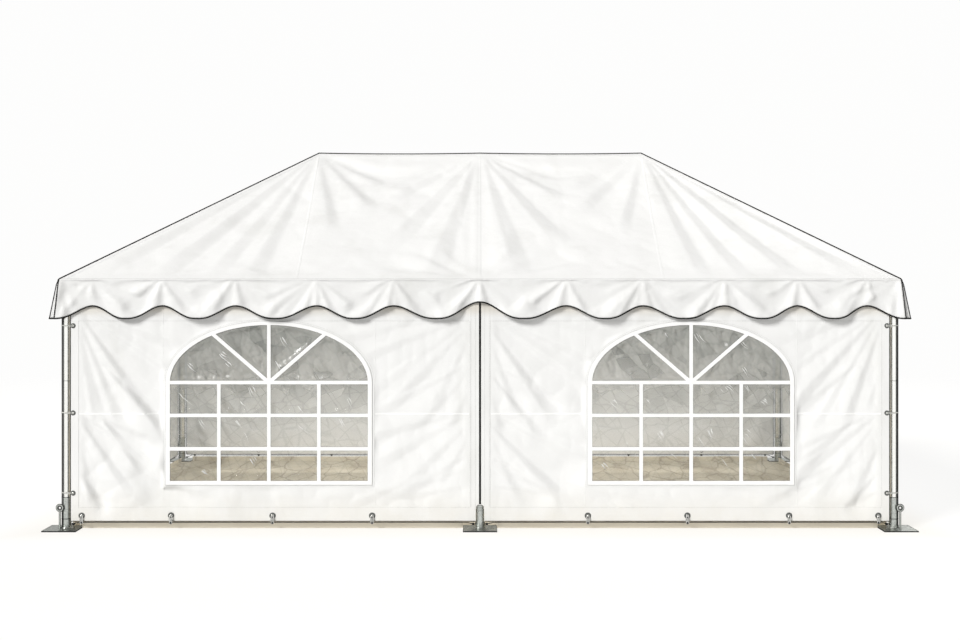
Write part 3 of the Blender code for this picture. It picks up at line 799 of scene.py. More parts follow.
def hem_strips(side):
    """Doubled cloth along the ridge and both hips of one face."""
    share = np.linspace(0.002, 0.955 if side.ends else 0.998, 61)[:, None]
    across = np.array((0.002, 0.35, 0.7, 0.93, 1.0))[None, :]
    lift = np.array((0.0022, 0.0022, 0.0022, 0.0022, 0.0004))[None, :]
    edge = side.half + (side.top - side.half) * share
    strips = []
    for sign in (-1, 1):
        u = sign * (edge - across * ROOF_HEM * 1.12)
        strip = on_roof(side, u, share * side.length + 0 * across, lift)
        strips.append(strip if sign < 0 else strip[:, ::-1])
    if not side.ends:
        run = np.linspace(-HALF_RIDGE, HALF_RIDGE, 75)[None, :]
        v = side.length - ROOF_HEM * across[:, ::-1].T
        strips.append(on_roof(side, run + 0 * v, v + 0 * run, lift[:, ::-1].T))
    return strips


def make_piping(material):
    """Dark piping on the ridge and the hips, turned down over the eave at the corners."""
    piping = Bundle()
    run = np.linspace(-HALF_RIDGE, HALF_RIDGE, 73)
    ridge = np.stack((run, 0 * run, RIDGE_Z + PIPING_LIFT - ridge_sag(run)), -1)
    piping.add(*tube(ridge, RIDGE_PIPING, 8))
    share = np.linspace(0, 1, 41)[:, None]
    for x in (-1, 1):
        peak = np.array((x * HALF_RIDGE, 0, RIDGE_Z + PIPING_LIFT))
        for y in (-1, 1):
            eave = np.array((x * (EAVE_X - 0.004), y * (EAVE_Y - 0.004), EAVE_Z + 0.006))
            turn = eave + np.array(((x * 0.008, y * 0.008, -0.012), (x * 0.010, y * 0.010, -0.036)))
            path = np.concatenate((peak + (eave - peak) * share, turn))
            piping.add(*tube(path, HIP_PIPING, 8))
    piping.build("roof_piping", [material], "binding")


def make_roof_seams(material):
    """The raised weld seams of the cover: its hems, and three seams up each long slope."""
    seams = Bundle()
    for side in SIDES:
        for strip in hem_strips(side):
            seams.add_grid(strip)
    section = ((-0.011, 0.0003), (-0.009, 0.0013), (0.009, 0.0013), (0.011, 0.0003))
    share = np.linspace(0.004, 0.99, 67)
    for side in (FRONT, BACK):
        for foot, top in ((0.0, 0.0), (-SEAM_FOOT_X, -HALF_RIDGE), (SEAM_FOOT_X, HALF_RIDGE)):
            strip = [on_roof(side, foot + (top - foot) * share + across, share * side.length, lift)
                     for across, lift in section]
            seams.add_grid(np.stack(strip, 1))
    seams.build("roof_seams", [material], "canopy", angle=18)


def crest_places(side):
    """Runs of the scallops' crests along one side."""
    if side.ends:
        pitch = 2 * EAVE_Y / (2 * END_CREST_COUNT + 1)
        return [pitch * index for index in range(-END_CREST_COUNT, END_CREST_COUNT + 1)]
    return [-crest for crest in reversed(LONG_CRESTS[1:])] + list(LONG_CRESTS)


def scallop(side, run):
    """Height of the scalloped edge at runs along its side."""
    crests = crest_places(side)
    last = 2 * side.corner - crests[-1]
    places = np.array([-last] + crests + [last])
    index = np.clip(np.searchsorted(places, run, side="right") - 1, 0, len(places) - 2)
    share = (run - places[index]) / (places[index + 1] - places[index])
    nearest = np.where(share < 0.5, places[index], places[index + 1])
    middle = CREST_Z if side.ends else MIDDLE_CREST_Z
    crest = np.where(np.abs(nearest) < TINY, middle, CREST_Z)
    lift = ((1 + np.cos(math.tau * share)) / 2) ** CREST_SHARPNESS
    return LOBE_Z + (crest - LOBE_Z) * lift


# Folds from a knot of the valance: heading from straight down, reach, band width and slope
KNOT_RAYS = ((-10.0, 0.46, 0.050, 0.52), (-31.0, 0.52, 0.070, 0.56), (-53.0, 0.60, 0.075, 0.52),
             (-70.0, 0.60, 0.055, 0.42), (13.0, 0.46, 0.050, 0.52), (34.0, 0.52, 0.070, 0.56),
             (55.0, 0.60, 0.075, 0.52), (71.0, 0.60, 0.055, 0.42))


def stand_off(side, down):
    """How far the valance stands outside the eave line, at shares of its fall."""
    return 0.0035 + side.flare * down + 0.010 * smooth(down / 0.15) * (1 - down)


def valance_fold(side, u, z):
    """How far the valance stands out from its leaning plane, gathered at knots on the eave."""
    light = side.light(0.45)
    fold = np.zeros_like(u)
    knots = [-side.half] + crest_places(side) + [side.half]
    for index, knot in enumerate(knots):
        for turn, reach, spread, slope in KNOT_RAYS:
            shift = 9.0 * math.sin(2.4 * index + turn)
            boost = 1.5 if abs(knot) < TINY and abs(turn) > 20 else 1.0
            fold += crease(u, z, (knot, EAVE_Z + 0.02), math.radians(-90.0 + turn + shift),
                           reach * (0.85 + 0.15 * math.sin(1.7 * index)), spread,
                           slope * boost, light, section=DIP)
    for index, (start, end) in enumerate(zip(knots, knots[1:])):
        share = np.clip((u - start) / (end - start), 0, 1)
        depth = 0.050 + 0.016 * math.sin(3.1 * index) + 0.020 * np.sin(5 * share + index)
        below = (EAVE_Z - z) / depth
        roll = np.interp(below, (0.0, 0.25, 1.0, 3.4), (0.0, 0.0, -1.0, 0.0))
        fold += 0.020 * roll * np.sin(math.pi * share) ** 0.7
    fall = np.clip((EAVE_Z - z) / (EAVE_Z - LOBE_Z), 0, 1)
    lobes = (LOBE_Z + 0.12 - scallop(side, u)) / 0.12
    fold += 0.014 * np.clip(lobes, 0, 1) * fall ** 1.5
    fold -= VALANCE_CRUMPLE * crumple(u, z, VALANCE_CRUMPLE_SIZE, 11)
    room = stand_off(side, fall) + WALL_GAP - BOUND_EDGE * fall
    fold = np.where(fold < 0, room * np.tanh(fold / room), np.minimum(fold, VALANCE_LIMIT))
    return fold * smooth((EAVE_Z - z) / 0.02)


def valance_columns(side):
    """Points of one side's valance from the flap on the roof down to the scalloped edge."""
    reach = side.eave - side.reach
    share = np.linspace(-1, 1, 2 * round(side.half / VALANCE_STEP) + 1)
    run = share * side.half
    low = scallop(side, share * side.corner)
    rows = []
    for inset, lift in ((0.016, 0.0006), (0.011, 0.0024), (0.006, 0.0034)):
        height = EAVE_Z + inset * math.tan(side.slope) + lift
        rows.append(side.points(share * (side.half - inset), reach - inset, height))
    rows.append(side.points(run, reach + 0.0028, EAVE_Z + 0.0022))
    rows.append(side.points(run, reach + 0.0050, EAVE_Z - 0.0050))
    for fall in 0.03 + 0.97 * np.linspace(0, 1, 25) ** 1.2:
        height = EAVE_Z + (low - EAVE_Z) * fall
        down = (EAVE_Z - height) / (EAVE_Z - LOBE_Z)
        place = share * (side.half + (side.corner - side.half) * down)
        quiet = smooth((1 - np.abs(share)) * side.half / 0.07)
        fold = valance_fold(side, place, height) * quiet
        rows.append(side.points(place, reach + stand_off(side, down) + fold, height))
    return np.array(rows)


def valance_corner(before, after, count=7):
    """The pleat between the last column of one side and the first of the next."""
    share = np.linspace(0, 1, count + 2)[1:-1][None, :, None]
    fall = np.linspace(0, 1, before.shape[0])[:, None, None]
    middle = (before + after)[:, None, :] / 2
    tuck = -middle / np.linalg.norm(middle[..., :2], axis=-1, keepdims=True)
    tuck[..., 2] = 0
    straight = before[:, None, :] * (1 - share) + after[:, None, :] * share
    return straight + tuck * PLEAT_TUCK * fall ** 1.3 * np.sin(math.pi * share) ** 2


def make_valance(material, binding):
    """One gathered strip round the whole eave, with its bound edge and bound corner pleats."""
    sides = [valance_columns(side) for side in SIDES]
    strips = []
    for strip, following in zip(sides, sides[1:] + sides[:1]):
        strips += [strip, valance_corner(strip[:, -1], following[:, 0])]
    points = np.concatenate(strips, 1)
    cloth = Bundle()
    cloth.add(points, grid_faces(*points.shape[:2], closed=True)[:, ::-1])
    piece = cloth.build("valance", [material], "canopy", thickness=FABRIC)
    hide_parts("front_valance", "back_valance", "left_valance", "right_valance")
    edge = Bundle()
    outward = points[-1] * (1, 1, 0)
    outward /= np.linalg.norm(outward, axis=1)[:, None]
    edge.add(*tube(points[-1] + outward * 0.0004, LOBE_CORD, 8, closed=True))
    for strip in sides:
        for column in (0, -1):
            edge.add(*tube(strip[4:, column], PLEAT_CORD, 6))
    bound = edge.build("valance_binding", [binding], "binding")


def arch_reach(u, z, half, bottom, rise):
    """How far places lie outside a window outline; below 0 is inside it."""
    square = np.maximum(np.abs(u) - half, bottom - z)
    ring = np.hypot(u / half, (z - SPRING_Z) / rise)
    arch = (ring - 1) * (rise + half) / 2
    return np.where(z < SPRING_Z, square, arch)


# Folds of the walls: inset of the start, its height, the fall in degrees, reach and band width
OUTER_FOLDS = (
    (0.05, 2.14, 23, 1.00, 0.090), (0.05, 2.13, 36, 1.20, 0.080), (0.06, 2.12, 50, 1.45, 0.110),
    (0.06, 2.09, 63, 1.20, 0.070), (0.06, 2.02, 75, 1.05, 0.095), (0.06, 1.62, 79, 0.48, 0.060),
    (0.28, 1.62, 44, 0.85, 0.080), (0.06, 1.15, 25, 0.90, 0.070), (0.06, 1.14, 38, 1.35, 0.140),
    (0.06, 1.11, 55, 0.95, 0.070), (0.30, 1.09, 49, 0.70, 0.100), (0.06, 0.90, 70, 0.75, 0.100),
    (0.06, 0.60, 52, 0.50, 0.070), (0.06, 0.38, 28, 0.40, 0.080), (0.50, 0.62, 30, 0.50, 0.070),
)
JOINT_FOLDS = (
    (0.08, 2.09, 15, 1.35, 0.090), (0.08, 2.06, 27, 1.45, 0.100), (0.08, 2.03, 38, 1.35, 0.100),
    (0.08, 1.98, 50, 1.15, 0.095), (0.08, 1.86, 64, 0.85, 0.080), (0.08, 1.60, 33, 0.95, 0.080),
    (0.08, 1.52, 49, 0.75, 0.080), (0.08, 1.36, 66, 0.50, 0.060), (0.08, 1.14, 19, 1.15, 0.090),
    (0.08, 1.12, 31, 1.15, 0.105), (0.08, 1.03, 45, 0.95, 0.095), (0.08, 0.92, 61, 0.65, 0.080),
    (0.08, 0.74, 36, 0.75, 0.080), (0.08, 0.58, 21, 0.70, 0.070), (0.08, 0.42, 13, 0.60, 0.060),
)


GLASS = (GLASS_HALF, GLASS_BOTTOM, GLASS_RISE)


def frame_outline(margin=0.0):
    """Half width, bottom and rise of the window frame's outer edge, let out by a margin."""
    return (GLASS_HALF + FRAME_WIDTH + margin, GLASS_BOTTOM - FRAME_FOOT - margin,
            GLASS_RISE + FRAME_RISE + margin)


class Panel:
    """One wall, with its reach along its side, its bands, its joint and its window."""

    def __init__(self, node, side, seed, joint=0, window=None):
        low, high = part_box(node)
        self.node = node
        self.side = side
        self.start, self.end = sorted((side.along.dot(low), side.along.dot(high)))
        self.bottom, self.top = low.z, high.z
        self.face = max(side.out.dot(low), side.out.dot(high)) - side.reach
        self.left = JOINT_BAND if joint < 0 else OUTER_BAND
        self.right = JOINT_BAND if joint > 0 else OUTER_BAND
        self.seed = seed
        self.joint = joint
        self.window = window
        self.light = side.light(0.5)
        self.rays = self.make_rays()

    def named(self, ending):
        return self.node.replace("_wall", ending)

    def make_rays(self):
        """Where creases start, which way they head, and how long, wide and steep they are."""
        chance = np.random.default_rng(self.seed)
        light = self.light
        rays = []
        for place, inward in ((self.start, 1), (self.end, -1)):
            joint = (self.joint < 0) == (inward > 0) and self.joint != 0
            for inset, height, tilt, reach, spread in (JOINT_FOLDS if joint else OUTER_FOLDS):
                tilt = math.radians(tilt + chance.uniform(-3, 3))
                heading = -tilt if inward > 0 else math.pi + tilt
                reach *= chance.uniform(0.90, 1.12)
                spread *= chance.uniform(0.85, 1.15)
                facing = abs(light[1] * math.cos(heading) - light[0] * math.sin(heading))
                slope = chance.uniform(0.17, 0.26) / (0.25 + facing) * (0.62 if joint else 1.0)
                rays.append(((place + inward * inset, height), heading, reach, spread, slope))
        middle = (self.start + self.end) / 2
        for share in (-0.62, -0.3, 0.05, 0.36, 0.66):
            start = (middle + share * (self.end - self.start) / 2, HEM_TOP + 0.24)
            heading = math.radians(-20 if share < 0.4 else 200) + chance.uniform(-0.2, 0.2)
            rays.append((start, heading, 0.60, 0.09, 0.15))
        return rays

    def depth(self, u, z):
        """How far the cloth stands out of its plane, below 0 inside it."""
        depth = np.zeros(np.broadcast(u, z).shape)
        for start, heading, reach, spread, slope in self.rays:
            depth = depth + crease(u, z, start, heading, reach, spread, slope, self.light)
        share = np.clip((u - self.start) / (self.end - self.start), 0, 1)
        for top, dip, width, deep in ((2.16, 0.16, 0.07, 0.009), (2.06, 0.10, 0.05, 0.006)):
            line = top - dip * np.sin(math.pi * share) + 0.03 * np.sin(9 * share + self.seed)
            fold = np.interp((z - line) / width, (-2.5, 0.0, 1.0), (0.0, -1.0, 0.0))
            depth = depth + deep * fold * np.sin(math.pi * share)
        depth = depth - WALL_CRUMPLE * crumple(u + 0 * z, z + 0 * u, WALL_CRUMPLE_SIZE, self.seed)
        if self.window is not None:
            gap = arch_reach(u - self.window, z, *frame_outline())
            depth = depth * smooth((gap - 0.004) / 0.06)
        depth = depth * (0.12 + 0.88 * smooth((u - self.start - self.left) / 0.09))
        depth = depth * (0.12 + 0.88 * smooth((self.end - self.right - u) / 0.09))
        depth = depth * smooth((u - self.start) / 0.03) * smooth((self.end - u) / 0.03)
        depth = depth * smooth((2.31 - z) / 0.10)
        hem = 0.2 + 0.8 * smooth((z - self.bottom) / 0.13)
        free = smooth((2.05 - z) / 0.15) * smooth((z - 0.19) / 0.12)
        raised = free * FOLD_OUTWARD * np.tanh(depth / FOLD_OUTWARD)
        return np.where(depth < 0, FOLD_INWARD * np.tanh(depth / FOLD_INWARD) * hem, raised)

    def points(self, u, z, lift=0.0):
        """World points of the cloth, raised by lift."""
        return self.side.points(u, self.face - FABRIC + self.depth(u, z) + lift, z)


def make_panels():
    return (
        Panel("front_left_wall", FRONT, 21, joint=1, window=-WINDOW_X),
        Panel("front_right_wall", FRONT, 34, joint=-1, window=WINDOW_X),
        Panel("back_left_wall", BACK, 47, joint=-1),
        Panel("back_right_wall", BACK, 52, joint=1),
        Panel("left_wall", LEFT, 63),
        Panel("right_wall", RIGHT, 78),
    )


def panel_lines(panel, step):
    """Runs and heights of a wall's grid, through its bands, its window and its notch."""
    breaks_u = [panel.start, panel.start + panel.left, panel.end - panel.right, panel.end]
    if panel.joint < 0:
        breaks_u.insert(1, NOTCH_HALF)
    if panel.joint > 0:
        breaks_u.insert(-1, -NOTCH_HALF)
    notch_top = NOTCH_SPRING + NOTCH_RISE
    breaks_z = [panel.bottom, NOTCH_SPRING, notch_top, SPRING_Z, HEAD_Z, panel.top]
    if panel.window is not None:
        breaks_u = sorted(breaks_u + [panel.window - GLASS_HALF, panel.window + GLASS_HALF])
        breaks_z.insert(3, GLASS_BOTTOM)
    run, height = lines(breaks_u, step), lines(breaks_z, step)
    if panel.joint:
        near = np.abs(run) < NOTCH_HALF + TINY
        inner = np.linspace(np.abs(run).min(), NOTCH_HALF, 6)
        run = np.sort(np.concatenate((run[~near], -panel.joint * inner)))
        arch = (height > NOTCH_SPRING - TINY) & (height < notch_top + TINY)
        finer = np.linspace(NOTCH_SPRING, notch_top, 6)
        height = np.sort(np.concatenate((height[~arch], finer)))
    return run, height


def pulled(u, z, centre, half, spring, rise):
    """The grid's corners that lie just inside an arch, moved out to it."""
    across, level = u - centre, z - spring
    ring = np.hypot(across / half, level / rise)
    inside = (level > NEAR) & (ring < 1) & (ring > 0.3)
    ring = np.where(inside, ring, 1)
    return np.where(inside, centre + across / ring, u), np.where(inside, spring + level / ring, z)


def make_wall(panel, material):
    """The wall's cloth, with the window and the notch cut out of it."""
    run, height = panel_lines(panel, FRONT_STEP if panel.side is FRONT else BACK_STEP)
    u, z = np.meshgrid(run, height)
    keep = np.ones((len(height) - 1, len(run) - 1), bool)
    if panel.window is not None:
        across = u - panel.window
        square = (np.abs(across) < GLASS_HALF + NEAR) & (z > GLASS_BOTTOM - NEAR) & (z <= SPRING_Z)
        keep &= ~whole_cells(square | (arch_reach(across, z, *GLASS) < -NEAR))
        u, z = pulled(u, z, panel.window, GLASS_HALF, SPRING_Z, GLASS_RISE)
    if panel.joint:
        level = np.maximum(z - NOTCH_SPRING, 0) / NOTCH_RISE
        keep &= ~whole_cells(np.hypot(u / NOTCH_HALF, level) < 1 + TINY)
        u, z = pulled(u, z, 0.0, NOTCH_HALF, NOTCH_SPRING, NOTCH_RISE)
    cloth = Bundle()
    cloth.add(*used_only(panel.points(u, z), grid_faces(*u.shape, keep=keep)))
    piece = cloth.build(panel.named("_wall_cloth"), [material], "walling")
    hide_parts(panel.node)
    return piece


def band(bundle, panel, start, end, low, high, step=HEM_STEP, mark=0):
    """A strip of cloth welded on the wall, following its creases, with its border pressed down."""
    u, z = np.meshgrid(lines([start, start + TRIM_RIM, end - TRIM_RIM, end], step),
                       lines([low, low + TRIM_RIM, high - TRIM_RIM, high], step))
    lift = np.full(u.shape, TRIM_SINK)
    lift[1:-1, 1:-1] = TRIM_LIFT
    bundle.add_grid(panel.points(u, z, lift), mark)


def make_wall_trim(panel, material, weld):
    """Hem and edge bands of one wall, and its weld seams, the level ones paler as a painted
    highlight.
    """
    trim = Bundle()
    left, right = panel.start + panel.left, panel.end - panel.right
    inner = (left + TRIM_GAP, right - TRIM_GAP)
    low = panel.bottom + 0.0045
    band(trim, panel, *inner, low, HEM_TOP)
    notch = NOTCH_SPRING + NOTCH_RISE + 0.002
    for start, end, way in ((panel.start, left, -1), (right, panel.end, 1)):
        if way == panel.joint:
            near = way * -(NOTCH_HALF + 0.003)
            band(trim, panel, *sorted((near, end if way < 0 else start)), low, notch)
            band(trim, panel, start, end, notch + 0.0005, BAND_TOP)
        else:
            band(trim, panel, start, end, low, BAND_TOP)
    level = (SEAM_Z - SEAM_HALF, SEAM_Z + SEAM_HALF)
    foot = HEM_TOP + TRIM_GAP
    if panel.window is None:
        band(trim, panel, *inner, *level, SEAM_STEP, 1)
        third = (inner[1] - inner[0]) / 3
        for cut in (inner[0] + third, inner[1] - third):
            ends = (cut - SEAM_HALF, cut + SEAM_HALF)
            band(trim, panel, *ends, foot, level[0], SEAM_STEP)
            band(trim, panel, *ends, level[1], SEAM_TOP, SEAM_STEP)
    else:
        outline_band(trim, panel, *FRAME_BAND)
        reach = GLASS_HALF + FRAME_WIDTH + 0.025
        edges = (panel.window - reach, panel.window + reach)
        band(trim, panel, inner[0], edges[0], *level, SEAM_STEP, 1)
        band(trim, panel, edges[1], inner[1], *level, SEAM_STEP, 1)
        for edge, way in zip(edges, (-1, 1)):
            ends = sorted((edge, edge + way * SEAM_HALF))
            band(trim, panel, *ends, foot, GLASS_BOTTOM - FRAME_FOOT - 0.025, SEAM_STEP)
            band(trim, panel, *ends, SPRING_Z, SEAM_TOP, SEAM_STEP)
    return trim.build(panel.named("_wall_trim"), [material, weld], "walling", angle=25)


def make_foot_binding(panel, material):
    """The dark bound edge along the foot of one wall and up the ends that are laced to posts."""
    start = NOTCH_HALF + 0.004 if panel.joint < 0 else panel.start + 0.003
    end = -NOTCH_HALF - 0.004 if panel.joint > 0 else panel.end - 0.003
    run = lines([start, end], 0.03)
    edge = Bundle()
    edge.add(*tube(panel.points(run, panel.bottom + 0.0008 + 0 * run), FOOT_CORD, 6))
    height = lines([panel.bottom, LACED_EDGE_TOP], 0.06)
    for way, place in ((1, panel.start + 0.0020), (-1, panel.end - 0.0020)):
        if panel.joint * way >= 0:
            edge.add(*tube(panel.points(place + 0 * height, height), LACED_CORD, 6))
    return edge.build(panel.named("_foot_binding"), [material], "binding")


def outline_band(bundle, panel, near, far):
    """A strip of cloth welded round the window frame."""
    rows = []
    for margin, lift in ((near, TRIM_SINK), (near + TRIM_RIM, TRIM_LIFT),
                         (far - TRIM_RIM, TRIM_LIFT), (far, TRIM_SINK)):
        path = np.array(outline_path(panel.window, *frame_outline(margin)))
        rows.append(panel.points(path[:, 0], path[:, 1], lift))
    rows = np.array(rows)
    bundle.add(rows, grid_faces(*rows.shape[:2], closed=True)[:, ::-1])


def stitch_line(bundle, panel, path, lift=0.0014, pitch=0.016, length=0.010):
    """A row of stitches along a path of (run, height) places on the wall."""
    path = np.asarray(path, float)
    spans = np.linalg.norm(np.diff(path, axis=0), axis=1)
    travel = np.concatenate(([0], np.cumsum(spans)))
    places = np.arange(pitch / 2, travel[-1], pitch)
    u = np.interp(places, travel, path[:, 0])
    z = np.interp(places, travel, path[:, 1])
    ahead_u = np.interp(places + 0.004, travel, path[:, 0]) - u
    ahead_z = np.interp(places + 0.004, travel, path[:, 1]) - z
    centres = panel.points(u, z, lift)
    out = panel.side.out
    for centre, step_u, step_z in zip(centres, ahead_u, ahead_z):
        along = panel.side.along * step_u + UP * step_z
        if along.length < TINY:
            continue
        along.normalize()
        axes = (along, out.cross(along), out)
        bundle.add(*block(centre, axes, (length, 0.0020, 0.0009), 0.7))


def outline_path(centre, half, bottom, rise):
    """A window outline as a closed path of (run, height) places."""
    angles = np.linspace(0, math.pi, 49)
    path = [(centre - half, SPRING_Z), (centre - half, bottom), (centre + half, bottom)]
    path += [(centre + half * math.cos(a), SPRING_Z + rise * math.sin(a)) for a in angles]
    return path


def make_stitches(panel, material):
    """Stitches round the wall's middle, along its joint and round its window."""
    rows = Bundle()
    low, high = HEM_TOP - 0.006, HEAD_Z
    start, end = panel.start + panel.left - 0.006, panel.end - panel.right + 0.006
    stitch_line(rows, panel, ((start, high), (start, low), (end, low), (end, high), (start, high)))
    if panel.joint:
        edge = panel.start if panel.joint < 0 else panel.end
        for inset in (0.042, 0.085):
            place = edge - panel.joint * inset
            stitch_line(rows, panel, ((place, HEM_TOP), (place, HEAD_Z + 0.16)))
    if panel.window is not None:
        for margin in (0.006, 0.020):
            stitch_line(rows, panel, outline_path(panel.window, *frame_outline(margin)),
                        lift=0.0006)
    return rows.build(panel.named("_wall_stitching"), [material], "walling")


def panes():
    """Pane outlines of one window round its own centre line, as (run, height) places."""
    found = []
    columns = (-GLASS_HALF, -SIDE_BAR_X, 0.0, SIDE_BAR_X, GLASS_HALF)
    rows = (GLASS_BOTTOM,) + ROW_BARS_Z
    for index, (left, right) in enumerate(zip(columns, columns[1:])):
        left += BAR_HALF if index > 0 else 0.0
        right -= BAR_HALF if index < 3 else 0.0
        for level, (low, high) in enumerate(zip(rows, rows[1:])):
            low += BAR_HALF if level > 0 else 0.0
            high -= BAR_HALF
            found.append([(left, low), (right, low), (right, high), (left, high)])
    sin, cos = math.sin(FAN_ANGLE), math.cos(FAN_ANGLE)
    size = math.hypot(GLASS_HALF * sin, GLASS_RISE * cos)
    lean = math.atan2(GLASS_HALF * sin, GLASS_RISE * cos)
    turn = math.asin(BAR_HALF / size)
    fans = (
        ((BAR_HALF * (1 + cos) / sin, BAR_HALF), math.asin(BAR_HALF / GLASS_RISE), lean - turn),
        ((BAR_HALF, BAR_HALF * (1 + sin) / cos), lean + turn, math.acos(BAR_HALF / GLASS_HALF)),
    )
    for corner, start, end in fans:
        arc = np.linspace(start, end, 15)
        outline = [(corner[0], SPRING_Z + corner[1])]
        outline += [(GLASS_HALF * math.cos(a), SPRING_Z + GLASS_RISE * math.sin(a)) for a in arc]
        found.append(outline)
        found.append([(-u, z) for u, z in reversed(outline)])
    return found


def make_bars(place, centre, material, shaded_weld_paint):
    """Rounded white strips between the panes, with a weld line round every pane, painted dark as
    the shade where film meets bars.
    """
    node = f"{place}_window_bars"
    low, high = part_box(node)
    edge = 0.0016
    curve = bpy.data.curves.new(node, 'CURVE')
    curve.dimensions = '2D'
    curve.fill_mode = 'BOTH'
    curve.extrude = (high.y - low.y) / 2 - edge
    curve.bevel_depth = edge
    curve.bevel_resolution = 2
    curve.offset = -edge
    for outline in [outline_path(0.0, *frame_outline())[1:]] + panes():
        spline = curve.splines.new('POLY')
        spline.points.add(len(outline) - 1)
        for point, (run, height) in zip(spline.points, outline):
            point.co = (run, height, 0, 1)
        spline.use_cyclic_u = True
    helper = placed(node + "_helper", curve)
    bpy.context.view_layer.update()
    evaluated = helper.evaluated_get(bpy.context.evaluated_depsgraph_get())
    mesh = bpy.data.meshes.new_from_object(evaluated)
    bpy.data.objects.remove(helper, do_unlink=True)
    mesh.transform(Matrix.Translation((centre, (low.y + high.y) / 2, 0))
                   @ Matrix.Rotation(math.pi / 2, 4, 'X'))
    mesh.materials.append(material)
    piece = placed(f"{place}_glazing_bars", mesh)
    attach(piece, "root")
    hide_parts(node)
    shaded_welds = Bundle()
    depth = -high.y - HALF_DEPTH + 0.0004
    for outline in panes():
        closed = np.array(outline)
        middle = closed.mean(0)
        closed = middle + (closed - middle) * (1 - 0.003)
        path = FRONT.points(closed[:, 0] + centre, depth, closed[:, 1])
        shaded_welds.add(*tube(path, 0.0026, 6, closed=True))
    shaded_welds.build(f"{place}_pane_weld_shade", [shaded_weld_paint], "glazing_bars")


def film_wrinkle(u, z, seed):
    """Wrinkles of the clear film between the bars, always inwards."""
    gaps = [np.abs(u)]
    for height in ROW_BARS_Z:
        gaps.append(np.abs(z - height))
    below = z < SPRING_Z
    for run in (-SIDE_BAR_X, SIDE_BAR_X):
        gaps.append(np.where(below, np.abs(u - run), 1.0))
    fan = np.abs(np.abs(u) * math.sin(FAN_ANGLE) - (z - SPRING_Z) * math.cos(FAN_ANGLE))
    gaps.append(np.where(below, 1.0, fan))
    gaps.append(-arch_reach(u, z, *GLASS))
    gap = np.minimum.reduce(gaps)
    skew_u = u + 0.55 * z
    skew_z = z - 0.35 * u
    folds = crumple(skew_u * 1.5, skew_z * 0.7, 0.17, seed)
    fine = crumple(skew_u * 1.3, skew_z * 0.8, 0.055, seed + 9)
    return -(0.0220 * folds + 0.0045 * fine) * smooth((gap - BAR_HALF) / 0.06)


def make_film(place, centre, material, seed):
    """Clear film behind the bars, a little larger than the opening."""
    margin, step = 0.012, 0.0105
    half, rise = GLASS_HALF + margin, GLASS_RISE + margin
    run = lines([-half, half], step)
    height = lines([GLASS_BOTTOM - margin, SPRING_Z, SPRING_Z + GLASS_RISE + margin], step)
    u, z = np.meshgrid(run, height)
    ring = np.hypot(u / half, (z - SPRING_Z) / rise)
    outside = (z > SPRING_Z + NEAR) & (ring > 1 + TINY)
    ring = np.where(outside, ring, 1.0)
    u, z = u / ring, np.where(outside, SPRING_Z + (z - SPRING_Z) / ring, z)
    face = -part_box(f"{place}_window_bars")[1].y - HALF_DEPTH - 0.0006
    points = FRONT.points(u + centre, face + film_wrinkle(u, z, seed), z)
    film = Bundle()
    film.add(*used_only(points, grid_faces(*u.shape, keep=~whole_cells(outside))))
    piece = film.build(f"{place}_clear_film", [material], "clear_film")
    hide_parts(f"{place}_window_film")


def crease_mark(start, turn, length, width, bend):
    """One lens-shaped crease, as three rows of (run, height) places."""
    share = np.linspace(0, 1, 11)
    along = share * length
    curve = bend * 4 * share * (1 - share)
    half = width * np.sin(math.pi * share ** 0.62) ** 1.8 + 0.0003
    for across in (-1, 0, 1):
        sidewise = curve + across * half
        yield (start[0] + along * math.cos(turn) - sidewise * math.sin(turn),
               start[1] + along * math.sin(turn) + sidewise * math.cos(turn))


def make_film_creases(place, centre, material, seed):
    """Raised creases on the film, painted white as glints, in small sheaves that start near a
    pane's corner.
    """
    chance = np.random.default_rng(seed)
    marks = Bundle()
    face = -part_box(f"{place}_window_bars")[1].y - HALF_DEPTH - 0.0002
    for outline in panes():
        corners = np.array(outline)
        size = corners.max(0) - corners.min(0)
        middle = (corners.max(0) + corners.min(0)) / 2
        lowest = middle[1] < ROW_BARS_Z[0]
        near_end = middle[0] * (1 if centre < 0 else -1) < -0.2
        sheaves = (1 if lowest else 2) if near_end else chance.integers(0 if lowest else 1, 2)
        for _ in range(sheaves):
            aim = middle + (chance.random(2) - (0.72, 0.34)) * size * 0.72
            turn = math.radians(chance.choice((-54, -47, -40, -62)) + chance.uniform(-6, 6))
            for place_in_sheaf in range(chance.integers(1, 4)):
                shift = 0.020 * place_in_sheaf + chance.uniform(0.0, 0.012)
                start = aim + shift * np.array((math.cos(turn + 1.3), math.sin(turn + 1.3)))
                length = chance.uniform(0.06, 0.15) * (1.0 - 0.22 * place_in_sheaf)
                foot = start + length * np.array((math.cos(turn), math.sin(turn)))
                if any(arch_reach(u, z, GLASS_HALF - 0.05, GLASS_BOTTOM, GLASS_RISE - 0.05) > 0
                       for u, z in (start, foot)):
                    continue
                rows = []
                mark = crease_mark(start, turn + chance.uniform(-0.10, 0.10), length,
                                   chance.uniform(0.0022, 0.0062), chance.uniform(-0.010, 0.010))
                for (u, z), lift in zip(mark, (0.0, 0.0014, 0.0)):
                    deep = film_wrinkle(u, z, seed)
                    rows.append(FRONT.points(u + centre, face + deep + lift, z))
                marks.add_grid(np.array(rows))
    marks.build(f"{place}_film_glint_creases", [material], "clear_film", thickness=0.0004)


